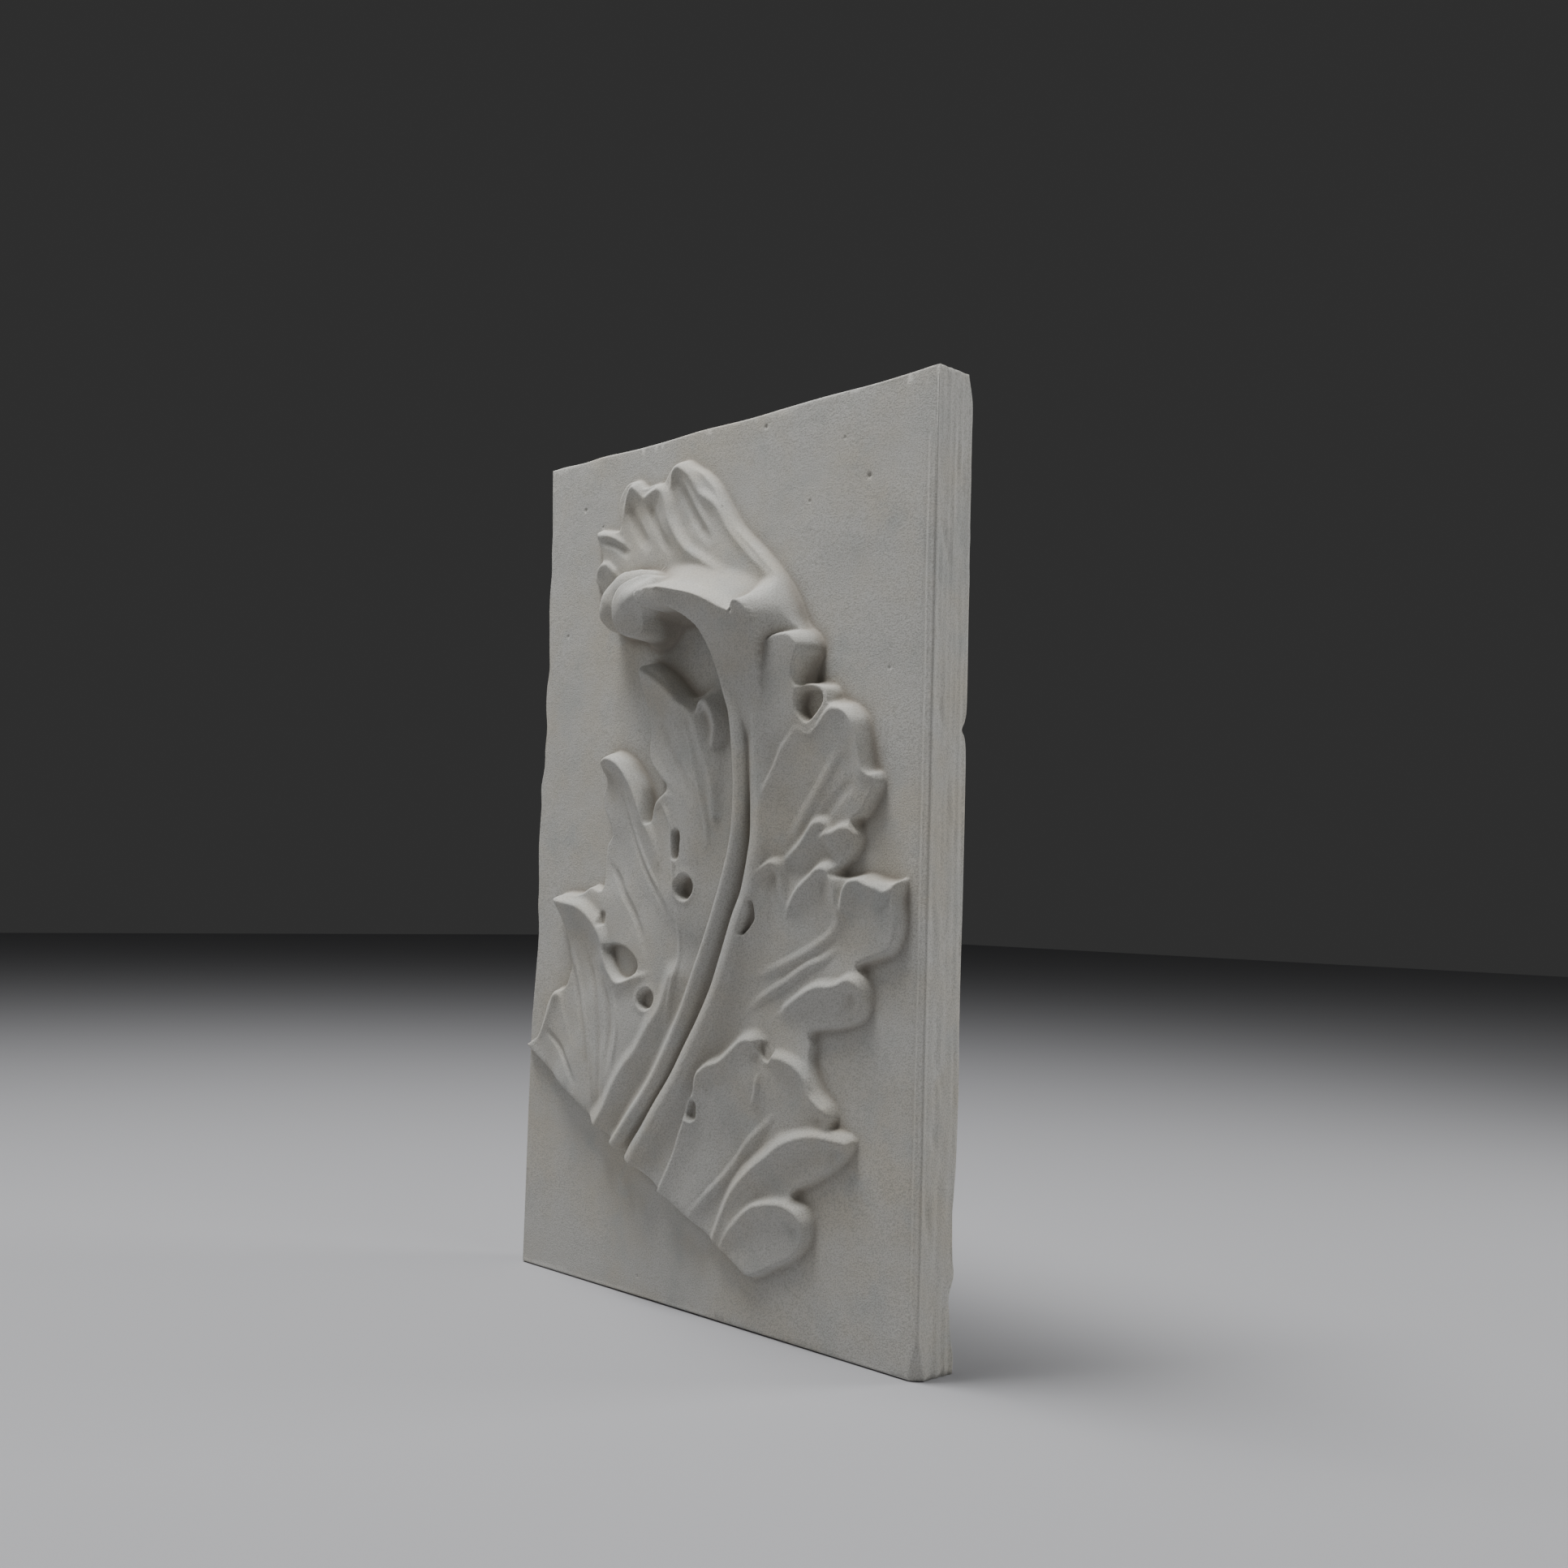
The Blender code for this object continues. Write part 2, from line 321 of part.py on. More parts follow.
RIGHT_OUTLINE = (
    (60, 150), (70, 146), (80, 149), (92, 149), (100, 145), (105, 138), (105, 131),
    (101, 124), (99, 114), (108, 113), (118, 109), (124, 101), (136, 97), (145, 89),
    (149, 77), (151, 66), (153, 57), (158, 54), (160, 47), (154, 37), (147, 28), (140, 24),
    (144, 16), (140, 6), (132, -2), (128, -7), (134, -9), (150, -7), (164, -10), (173, -11),
    (180, -10), (179, -22), (180, -36), (177, -47), (170, -55), (155, -60), (146, -64),
    (151, -70), (154, -78), (153, -88), (147, -96), (130, -102), (108, -106), (108, -115),
    (108, -124), (112, -134), (117, -142), (125, -149), (128, -156), (126, -162),
    (140, -165), (144, -170), (138, -179), (125, -189), (110, -198), (96, -205), (96, -210),
    (105, -213), (110, -221), (108, -233), (97, -245), (81, -254), (49, -266), (0, -250),
    (-40, -235), (-94, -225), (-84, -206), (-58, -176), (-36, -150), (-18, -125), (-3, -99),
    (20, -51), (39, -5), (45, 18), (47, 47), (45, 77), (40, 112), (44, 130))

# Hollows: floor, outline
PITS = (
    (4.0, ((-92, -62), (-79, -61), (-67, -66), (-61, -73), (-65, -79), (-77, -82),
           (-86, -76))),
    (7.0, ((98, 100), (99, 94), (104, 89), (110, 92), (116, 99), (114, 105), (106, 107),
           (100, 106))),
    (10.5, ((61, -27), (62, -36), (58, -42), (53, -46), (56, -38), (60, -30))),
    (7.5, ((66, -116), (73, -115), (78, -120), (74, -126), (69, -124))),
    (7.0, ((-20, 18), (-16, 17), (-17, 4), (-20, 3))),
    (7.0, ((-103, -38), (-99, -38), (-99, -45), (-102, -45))))

# Drilled eyes: floor, rim raised round it, then the run of the drill with its radius
HOLES = (
    (4.0, 0.8, ((-10, -19, 5.4), (-9, -18, 5.4))),
    (4.5, 0.8, ((-50, -96, 5.4), (-48, -95, 5.4))),
    (8.0, 0.8, ((5, -167, 3.6), (6, -162, 3.0))))

# Ribs (raised) and furrows (sunk): height, half width, then the points of the run
RIBS = (
    # fan
    (-0.8, 6, ((-88, 250), (-80, 238), (-68, 226))),
    # low leaf
    (-1.2, 4.5, ((-147, -60), (-130, -92), (-116, -130), (-108, -172))),
    (1.2, 3.5, ((-138, -62), (-122, -96), (-110, -136), (-104, -178))),
    (-1.4, 4, ((-122, -60), (-106, -96), (-98, -140), (-98, -176))),
    (-1.4, 4, ((-98, -84), (-88, -112), (-88, -150))),
    (1.0, 3, ((-84, -92), (-78, -118), (-82, -146))),
    (-1.2, 4, ((-168, -124), (-146, -138), (-124, -164))),
    # middle leaf
    (-1.3, 4.5, ((-99, -1), (-86, -13), (-79, -23), (-66, -37), (-57, -51), (-51, -67))),
    (1.2, 3.5, ((-80, 56), (-74, 34), (-64, 14), (-52, -4), (-40, -18), (-32, -34))),
    (-1.1, 4.5, ((-80, 44), (-71, 24), (-62, 6), (-50, -10), (-38, -23), (-29, -36),
                 (-25, -55))),
    (1.4, 3, ((-37, 41), (-29, 32), (-24, 22), (-22, 8), (-20, -9), (-19, -28))),
    (1.0, 3, ((-18, -33), (-16, -52), (-17, -72), (-22, -92), (-27, -109))),
    # top leaf
    (1.3, 3.5, ((-22, 104), (-7, 79), (-2, 62), (5, 43), (10, 24), (11, 4))),
    (-1.2, 5, ((-40, 96), (-28, 76), (-12, 56), (-2, 36))),
    # second lobe
    (1.0, 6, ((132, 72), (117, 50), (100, 30), (86, 10))),
    (-0.8, 6, ((142, 50), (124, 36), (106, 18))),
    # third lobe
    (1.3, 5, ((131, -36), (124, -45), (111, -53), (97, -60), (81, -67), (58, -76))),
    (1.4, 4.5, ((131, -52), (117, -61), (104, -66), (87, -76), (67, -87), (49, -99))),
    # fourth and fifth lobes
    (1.2, 3, ((66, -134), (64, -146), (60, -158))),
    (1.6, 4.5, ((80, -158), (65, -172), (51, -185), (36, -202), (18, -219), (1, -236))),
    (1.0, 5, ((70, -204), (56, -216), (42, -230), (30, -248))))

# Straight cut across the leaf's foot, from its left end to its right, and how far it leans
FOOT_CUT = ((-186, -141), (49, -260))
FOOT_RUN = 3.0


def curve_through(nodes, closed=False):
    """Points of a smooth curve through the nodes; every value of a node is carried along."""
    rows = np.asarray(nodes, float)
    count = len(rows)
    if closed:
        before, after = rows[-1:], rows[:2]
        spans = count
    else:
        before, after = 2 * rows[:1] - rows[1:2], 2 * rows[-1:] - rows[-2:-1]
        spans = count - 1
    wide = np.vstack([before, rows, after])
    t = np.linspace(0, 1, SPAN_STEPS, endpoint=False)[:, None]
    out = []
    for i in range(spans):
        a, b, c, d = wide[i:i + 4]
        out.append(0.5 * (2 * b + (c - a) * t + (2 * a - 5 * b + 4 * c - d) * t ** 2
                          + (3 * b - a - 3 * c + d) * t ** 3))
    last = rows[:1] if closed else rows[-1:]
    return np.vstack(out + [last])


def nearest_on(path, x, z):
    """Distance to the path, positive on the left of the way along, and the values there."""
    best = np.full(x.shape, np.inf)
    side = np.ones(x.shape)
    carried = np.zeros(x.shape + (path.shape[1] - 2,))
    for a, b in zip(path[:-1], path[1:]):
        run = b[:2] - a[:2]
        length = max(run @ run, 1e-9)
        share = np.clip(((x - a[0]) * run[0] + (z - a[1]) * run[1]) / length, 0, 1)
        off_x = x - a[0] - share * run[0]
        off_z = z - a[1] - share * run[1]
        far = off_x ** 2 + off_z ** 2
        near = far < best
        best = np.where(near, far, best)
        side = np.where(near, np.where(run[0] * off_z < run[1] * off_x, -1.0, 1.0), side)
        carried[near] = (a[2:] + share[..., None] * (b[2:] - a[2:]))[near]
    return np.sqrt(best) * side, carried


def inside(path, x, z):
    """True where a point lies within the closed path."""
    odd = np.zeros(x.shape, bool)
    for a, b in zip(path[:-1], path[1:]):
        if a[1] != b[1]:
            crosses = (a[1] > z) != (b[1] > z)
            odd ^= crosses & (x < a[0] + (z - a[1]) * (b[0] - a[0]) / (b[1] - a[1]))
    return odd


def window(x, z, path, reach):
    """The part of the grid within reach of the path."""
    low = path[:, :2].min(0) - reach
    high = path[:, :2].max(0) + reach
    across = np.flatnonzero((x[0] >= low[0]) & (x[0] <= high[0]))
    up = np.flatnonzero((z[:, 0] >= low[1]) & (z[:, 0] <= high[1]))
    if len(across) == 0 or len(up) == 0:
        return slice(0, 0), slice(0, 0)
    return slice(up[0], up[-1] + 1), slice(across[0], across[-1] + 1)


def over(a, b, blend):
    """The higher of two surfaces, with a smooth hollow where they meet."""
    return 0.5 * (a + b + np.sqrt((a - b) ** 2 + blend ** 2))


def under(a, b, blend):
    """The lower of two surfaces, with a soft edge where they meet."""
    return -over(-a, -b, blend)


def swelling(x, z, places, reach):
    """A smooth surface near the heights given at scattered places."""
    total = np.zeros(x.shape)
    weight = np.full(x.shape, 1e-12)
    for px, pz, height in places:
        pull = np.exp(-((x - px) ** 2 + (z - pz) ** 2) / (2 * reach ** 2)) + 1e-9
        total += pull * height
        weight += pull
    return total / weight


def leaflet(h, x, z, body, fall, outline, wall):
    """Lay the body over the ground within an outline, turned down by fall at the rim."""
    path = curve_through(outline, closed=True)
    part = window(x, z, path, LEAFLET_WINDOW)
    far = np.abs(nearest_on(path, x[part], z[part])[0])
    rim = np.maximum(body[part] - fall, LEAST_RIM)
    within = body[part] - fall * np.exp(-far / LEAFLET_TURN)
    beyond = rim * np.exp(-far * wall / rim) - BACK_LEAN * far
    form = np.where(inside(path, x[part], z[part]), within, beyond)
    h[part] = over(h[part], form, LEAFLET_BLEND)


def lobe(h, x, z, rim, sheet, base, blend):
    """Lay a lobe along its rim: the face runs out into the sheet, the back drops to the base."""
    path = curve_through(rim)
    part = window(x, z, path, LOBE_WINDOW)
    off, val = nearest_on(path, x[part], z[part])
    far = np.abs(off)
    top, face_slope, back_slope = val[..., 0], val[..., 1], val[..., 2]
    drop = np.maximum(top - base, LEAST_DROP)
    back = base + drop * np.exp(-far * back_slope / drop) - BACK_LEAN * far
    rise = np.maximum(top - sheet[part], 0) + FACE_UNDER
    decay = np.maximum(face_slope / rise, 1 / FACE_LENGTH)
    face = top - rise * (1 - np.exp(-far * decay)) - FACE_LEAN * far
    h[part] = over(h[part], np.where(off > 0, back, face), blend)


def trimmed(h, x, z, outline, wall):
    """What stands within the outline, with a wall down to the ground round it."""
    path = curve_through(outline, closed=True)
    part = window(x, z, path, TRIM_WINDOW)
    far = np.abs(nearest_on(path, x[part], z[part])[0])
    depth = np.where(inside(path, x[part], z[part]), far, -far)
    kept = np.full(x.shape, -BARE_DEPTH)
    kept[part] = under(h[part], depth * wall, EDGE_BLEND)
    return kept


def bead(h, x, z, rim, aside, width):
    """Lay a rounded bead along a rim of the stem; over its last rows it sinks into the rim."""
    rows = np.array([row[:3] for row in rim], float)
    steps = np.arange(len(rows)) - (len(rows) - BEAD_SINK_ROWS)
    rows[:, 0] += aside
    rows[:, 2] += BEAD_RISE - BEAD_SINKS * np.maximum(steps, 0)
    path = curve_through(rows)
    part = window(x, z, path, SWEEP_WINDOW)
    off, val = nearest_on(path, x[part], z[part])
    far = np.abs(off)
    section = BEAD_FALL * np.minimum(far / width, 1) ** 2
    form = val[..., 0] - section - np.maximum(far - width, 0) * BEAD_WALL
    h[part] = over(h[part], form, SWEEP_BLEND)


def pit(h, x, z, floor, outline):
    """Cut a hollow down to a floor within an outline."""
    path = curve_through(outline, closed=True)
    part = window(x, z, path, PIT_WINDOW)
    far = np.abs(nearest_on(path, x[part], z[part])[0])
    beyond = np.where(inside(path, x[part], z[part]), 0, far)
    h[part] = under(h[part], floor + beyond * PIT_WALL, CUT_BLEND)


def hole(h, x, z, floor, rim, run):
    """Sink a drilled run to its floor, with a rim raised round it."""
    path = curve_through(run)
    part = window(x, z, path, HOLE_WINDOW)
    off, val = nearest_on(path, x[part], z[part])
    past = np.abs(off) - val[..., 0]
    ground = h[part]
    cut = under(ground, floor + np.maximum(past, 0) * FUNNEL_WALL, CUT_BLEND)
    lip = past - np.maximum(ground - floor, 0) / FUNNEL_WALL
    bell = np.exp(-(lip / HOLE_RIM_WIDTH) ** 2)
    h[part] = cut + rim * bell * np.clip(ground / FULL_HEIGHT, 0, 1)


def rib(h, x, z, height, half_width, points):
    """Raise a rib along the points, or sink a furrow where the height is below nothing."""
    share = np.linspace(0, 1, len(points))
    path = curve_through(np.column_stack([points, share]))
    part = window(x, z, path, half_width + 1)
    off, val = nearest_on(path, x[part], z[part])
    along = val[..., 0]
    fade = np.clip(RIB_FADE * along, 0, 1) * np.clip(RIB_FADE * (1 - along), 0, 1)
    section = (1 - np.clip(off / half_width, -1, 1) ** 2) ** 2
    h[part] += height * fade * section * np.clip(h[part] / FULL_HEIGHT, 0, 1)


def brushed(h):
    """The surface evened once with its neighbours, as with a wet brush."""
    for _ in range(2):
        wide = np.pad(h, ((1, 1), (0, 0)), mode="edge")
        h = (0.25 * (wide[:-2] + wide[2:]) + 0.5 * h).T
    return h


def leaf_part(x, z, sheet, lobes, outline, wall, bare=False, crest=()):
    """One part of the leaf by itself: its sheet, its lobes, the curl's crest, and its edge."""
    thin = swelling(x, z, sheet, SHEET_REACH)
    h = thin - BARE_DEPTH * bare
    for rim in lobes:
        lobe(h, x, z, rim, thin, 0.0, LOBE_BLEND)
    for rim in crest:
        lobe(h, x, z, rim, 0 * thin, CREST_BASE, CREST_BLEND)
    return trimmed(h, x, z, outline, wall)


def relief(x, z):
    """Height of the leaf over the slab's face, all in parts."""
    h = np.zeros(x.shape)
    pieces = (
        leaf_part(x, z, FAN_SHEET, FAN_LOBES, FAN_OUTLINE, FAN_WALL, crest=(CURL_CREST,)),
        leaf_part(x, z, LEFT_SHEET, LEFT_LOBES, LEFT_OUTLINE, LEAF_WALL),
        leaf_part(x, z, RIGHT_SHEET, RIGHT_LOBES, RIGHT_OUTLINE, LEAF_WALL),
        leaf_part(x, z, RIGHT_SHEET, STEM_RIMS, STEM_OUTLINE, LEAF_WALL, bare=True))
    for piece in pieces:
        h = over(h, piece, PART_BLEND)
    for rim, (aside, width) in zip(STEM_RIMS, BEADS):
        bead(h, x, z, rim, aside, width)
    leaflet(h, x, z, swelling(x, z, CURL_BODY, CURL_REACH), CURL_FALL, CURL_FACE, CURL_WALL)
    for fall, body, outline in ROLLS:
        leaflet(h, x, z, swelling(x, z, body, ROLL_REACH), fall, outline, ROLL_WALL)
    for height, half_width, points in RIBS:
        rib(h, x, z, height, half_width, points)
    for floor, outline in PITS:
        pit(h, x, z, floor, outline)
    for floor, rim, run in HOLES:
        hole(h, x, z, floor, rim, run)
    (ax, az), (bx, bz) = FOOT_CUT
    beyond = ((bz - az) * (x - ax) - (bx - ax) * (z - az)) / math.hypot(bx - ax, bz - az)
    keep = np.clip(1 - beyond / FOOT_RUN, 0, 1)
    return brushed(np.maximum(h, 0) * keep * keep * (3 - 2 * keep))


def face_grid():
    """Places on the flat of the face, inside its rounded arris."""
    half_w = PANEL_WIDTH / 2 - ARRIS_RADIUS
    half_h = PANEL_HEIGHT / 2 - ARRIS_RADIUS
    across = np.linspace(-half_w, half_w, round(2 * half_w / GRID_STEP) + 1)
    up = np.linspace(-half_h, half_h, round(2 * half_h / GRID_STEP) + 1)
    return np.meshgrid(across, up)


def rim_profile():
    """How far in from the panel's edge and behind its face each ring round it lies."""
    turns = [math.pi / 2 * step / ARRIS_STEPS for step in range(1, ARRIS_STEPS + 1)]
    front = [(ARRIS_RADIUS * (1 - math.sin(t)), ARRIS_RADIUS * (1 - math.cos(t))) for t in turns]
    back = [(0.0, SLAB_THICKNESS - BACK_ARRIS), (BACK_ARRIS, SLAB_THICKNESS)]
    return front + back


def knock_corner(points):
    """Press the front right bottom corner back to the plane of its break."""
    corner = np.array([PANEL_WIDTH / 2, -SLAB_THICKNESS, -PANEL_HEIGHT / 2])
    outward = np.array([1.0, -1.0, -1.0]) / math.sqrt(3)
    past = (points - corner) @ outward + CORNER_LOSS
    return points - np.maximum(past, 0)[:, None] * outward


def panel_surface():
    """Points and faces of the closed panel: the relief, the rounded rim and the flat back."""
    x, z = face_grid()
    part = LEAF_HEIGHT / PARTS_HIGH
    height = relief((x - LEAF_ACROSS) / part, (z - LEAF_UP) / part + DRAWN_MIDDLE)
    y = -SLAB_THICKNESS - height * RELIEF_DEPTH / height.max()
    points = [np.stack([x, y, z], -1).reshape(-1, 3)]
    rows, columns = x.shape
    index = np.arange(rows * columns).reshape(rows, columns)
    quads = np.stack([index[:-1, :-1], index[:-1, 1:], index[1:, 1:], index[1:, :-1]], -1)
    faces = quads.reshape(-1, 4).tolist()
    ring = np.concatenate([index[0, :-1], index[:-1, -1], index[-1, :0:-1], index[:0:-1, 0]])
    edge = points[0][ring]
    out_x = np.where(np.isclose(np.abs(edge[:, 0]), x.max()), np.sign(edge[:, 0]), 0)
    out_z = np.where(np.isclose(np.abs(edge[:, 2]), z.max()), np.sign(edge[:, 2]), 0)
    count = rows * columns
    for inset, behind in rim_profile():
        step = ARRIS_RADIUS - inset
        moved = edge + np.stack([out_x * step, 0 * out_x, out_z * step], -1)
        moved[:, 1] = behind - SLAB_THICKNESS
        points.append(moved)
        new_ring = np.arange(count, count + len(ring))
        count += len(ring)
        faces += np.stack([ring, new_ring, np.roll(new_ring, -1), np.roll(ring, -1)], -1).tolist()
        ring = new_ring
    faces.append(ring[::-1].tolist())
    return knock_corner(np.vstack(points)), faces


def clear_scene():
    """Take every object out of the scene."""
    for thing in list(bpy.data.objects):
        bpy.data.objects.remove(thing, do_unlink=True)


def plaster():
    """Cast gypsum plaster, dry and matt."""
    material = bpy.data.materials.new("cast_plaster")
    material.use_nodes = True
    shader = material.node_tree.nodes["Principled BSDF"]
    shader.inputs["Base Color"].default_value = (0.45, 0.44, 0.41, 1.0)
    shader.inputs["Roughness"].default_value = 0.85
    return material


def build_panel():
    """Make the panel as one closed object and thin its flat ground out."""
    points, faces = panel_surface()
    mesh = bpy.data.meshes.new("relief_panel")
    mesh.from_pydata(points.tolist(), [], faces)
    panel = bpy.data.objects.new("relief_panel", mesh)
    bpy.context.collection.objects.link(panel)
    mesh.materials.append(plaster())
    work = bmesh.new()
    work.from_mesh(mesh)
    bmesh.ops.triangulate(work, faces=work.faces)
    bmesh.ops.recalc_face_normals(work, faces=work.faces)
    triangles = len(work.faces)
    work.to_mesh(mesh)
    work.free()
    thin = panel.modifiers.new("thin_flat_ground", "DECIMATE")
    thin.ratio = TARGET_TRIANGLES / triangles
    return panel


clear_scene()
build_panel()
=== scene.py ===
"""The look of a plaster cast wall panel: half of an acanthus leaf in relief on a rectangular slab.

Lengths of the leaf, the slab and the panel are millimetres, and turn to metres when the mesh is
made. The panel faces -Y, its back lies in the plane y = 0, +Z is up and the origin is the centre of
the back.
"""
import logging
import math
from dataclasses import dataclass, field
from enum import Enum

import bmesh
import bpy
import numpy as np
from mathutils import Matrix, Vector


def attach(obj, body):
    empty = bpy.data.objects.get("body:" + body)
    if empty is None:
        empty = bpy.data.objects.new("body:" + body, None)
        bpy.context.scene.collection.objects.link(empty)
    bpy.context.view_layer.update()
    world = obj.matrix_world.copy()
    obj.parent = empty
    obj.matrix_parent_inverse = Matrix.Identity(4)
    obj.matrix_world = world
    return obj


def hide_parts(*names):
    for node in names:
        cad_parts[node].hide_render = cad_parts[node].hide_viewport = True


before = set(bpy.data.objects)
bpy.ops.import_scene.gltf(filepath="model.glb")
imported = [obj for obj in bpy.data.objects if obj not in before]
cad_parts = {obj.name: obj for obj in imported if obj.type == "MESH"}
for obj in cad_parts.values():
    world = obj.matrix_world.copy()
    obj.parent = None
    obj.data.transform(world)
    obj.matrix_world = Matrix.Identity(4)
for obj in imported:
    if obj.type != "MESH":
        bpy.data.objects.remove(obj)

log = logging.getLogger("plaster_panel")

Grid = np.ndarray
Point = tuple[float, float]
Outline = tuple[Point, ...]
Node = tuple[float, ...]
Colour = tuple[float, float, float, float]

METRE = 0.001


class Edge(Enum):
    """The four edges of the slab's front, and the back edge of its right side."""

    LEFT = "left"
    RIGHT = "right"
    TOP = "top"
    FOOT = "foot"
    BACK = "back"


def linear(code: str) -> Colour:
    """A screen colour as the linear colour that a shader takes.

    Formula: each channel c is c / 12.92 below 0.04045, and ((c + 0.055) / 1.055) ** 2.4 above it.

    Args:
        code: the colour as six hex digits.

    Returns:
        Red, green, blue and an alpha of one.
    """
    channels = [int(code[at:at + 2], 16) / 255 for at in (0, 2, 4)]
    red, green, blue = (c / 12.92 if c <= 0.04045 else ((c + 0.055) / 1.055) ** 2.4
                        for c in channels)
    return red, green, blue, 1.0


def curve_through(nodes: tuple, closed: bool = False, steps: int = 9) -> Grid:
    """Points of a smooth curve through the nodes, every value of a node carried along.

    Formula: between two nodes the curve is the cubic that passes both, with a slope at each that
    is half the step between its neighbours.

    Args:
        nodes: rows of place and carried values.
        closed: whether the last node joins the first.
        steps: points made for each span.

    Returns:
        The rows along the curve.
    """
    rows = np.asarray(nodes, float)
    if closed:
        before, after, spans = rows[-1:], rows[:2], len(rows)
    else:
        before, after = 2 * rows[:1] - rows[1:2], 2 * rows[-1:] - rows[-2:-1]
        spans = len(rows) - 1
    wide = np.vstack([before, rows, after])
    t = np.linspace(0, 1, steps, endpoint=False)[:, None]
    out = []
    for i in range(spans):
        a, b, c, d = wide[i:i + 4]
        out.append(0.5 * (2 * b + (c - a) * t + (2 * a - 5 * b + 4 * c - d) * t ** 2
                          + (3 * b - a - 3 * c + d) * t ** 3))
    return np.vstack(out + [rows[:1] if closed else rows[-1:]])


def nearest_on(path: Grid, x: Grid, z: Grid) -> tuple[Grid, Grid]:
    """Distance from each place to a path, and the path's carried values there.

    Formula: for each straight step of the path the foot of the perpendicular is held within the
    step; the nearest foot wins. The distance is positive on the left of the way along.

    Args:
        path: rows of x, z and carried values.
        x: places across.
        z: places up.

    Returns:
        The signed distance, and the carried values.
    """
    best = np.full(x.shape, np.inf)
    side = np.ones(x.shape)
    carried = np.zeros(x.shape + (path.shape[1] - 2,))
    for a, b in zip(path[:-1], path[1:]):
        run = b[:2] - a[:2]
        length = max(run @ run, 1e-9)
        share = np.clip(((x - a[0]) * run[0] + (z - a[1]) * run[1]) / length, 0, 1)
        off_x = x - a[0] - share * run[0]
        off_z = z - a[1] - share * run[1]
        far = off_x ** 2 + off_z ** 2
        near = far < best
        best = np.where(near, far, best)
        side = np.where(near, np.where(run[0] * off_z < run[1] * off_x, -1.0, 1.0), side)
        carried[near] = (a[2:] + share[..., None] * (b[2:] - a[2:]))[near]
    return np.sqrt(best) * side, carried


def inside(path: Grid, x: Grid, z: Grid) -> Grid:
    """Whether each place lies within a closed path.

    Formula: a level ray from a place within crosses the path an odd number of times.

    Args:
        path: rows of x and z, the last like the first.
        x: places across.
        z: places up.

    Returns:
        True within, false beyond.
    """
    odd = np.zeros(x.shape, bool)
    for a, b in zip(path[:-1], path[1:]):
        if a[1] != b[1]:
            crosses = (a[1] > z) != (b[1] > z)
            odd ^= crosses & (x < a[0] + (z - a[1]) * (b[0] - a[0]) / (b[1] - a[1]))
    return odd


def over(a: Grid, b: Grid, blend: float) -> Grid:
    """The higher of two surfaces: half of their sum and the root of difference and blend squared."""
    return 0.5 * (a + b + np.sqrt((a - b) ** 2 + blend ** 2))


def under(a: Grid, b: Grid, blend: float) -> Grid:
    """The lower of two surfaces, with a soft edge where they meet."""
    return -over(-a, -b, blend)


def ease(t: Grid) -> Grid:
    """A smooth step from nothing to one: three t squared less two t cubed, t held in between."""
    t = np.clip(t, 0, 1)
    return t * t * (3 - 2 * t)


def smooth_noise(x: Grid, z: Grid, size: float, seed: int) -> Grid:
    """Rolling noise between about -1 and 1.

    Formula: seeded random heights on a square lattice, joined by the smooth step both ways.

    Args:
        x: places across.
        z: places up.
        size: spacing of the lattice, in the unit of the places.
        seed: which noise.

    Returns:
        The noise at each place.
    """
    lattice = np.random.default_rng(seed).uniform(-1, 1, (257, 257))
    u, v = x / size + 101.3, z / size + 97.7
    i, j = np.floor(u).astype(int), np.floor(v).astype(int)
    s, t = ease(u - i), ease(v - j)
    i, j = i % 256, j % 256
    low = lattice[i, j] * (1 - s) + lattice[i + 1, j] * s
    high = lattice[i, j + 1] * (1 - s) + lattice[i + 1, j + 1] * s
    return low * (1 - t) + high * t


def blurred(h: Grid, reach: int) -> Grid:
    """A grid softened both ways.

    Formula: three times over, each value becomes the mean of its row's and then of its column's
    neighbours within reach, from differences of running sums.

    Args:
        h: the grid.
        reach: how many neighbours on each side count.

    Returns:
        The softened grid.
    """
    wide = 2 * reach + 1
    for _ in range(3):
        for axis in (0, 1):
            sides = [(0, 0), (0, 0)]
            sides[axis] = (reach + 1, reach)
            sums = np.cumsum(np.pad(h, sides, mode="edge"), axis=axis)
            count = h.shape[axis]
            h = (np.take(sums, np.arange(count) + wide, axis)
                 - np.take(sums, np.arange(count), axis)) / wide
    return h


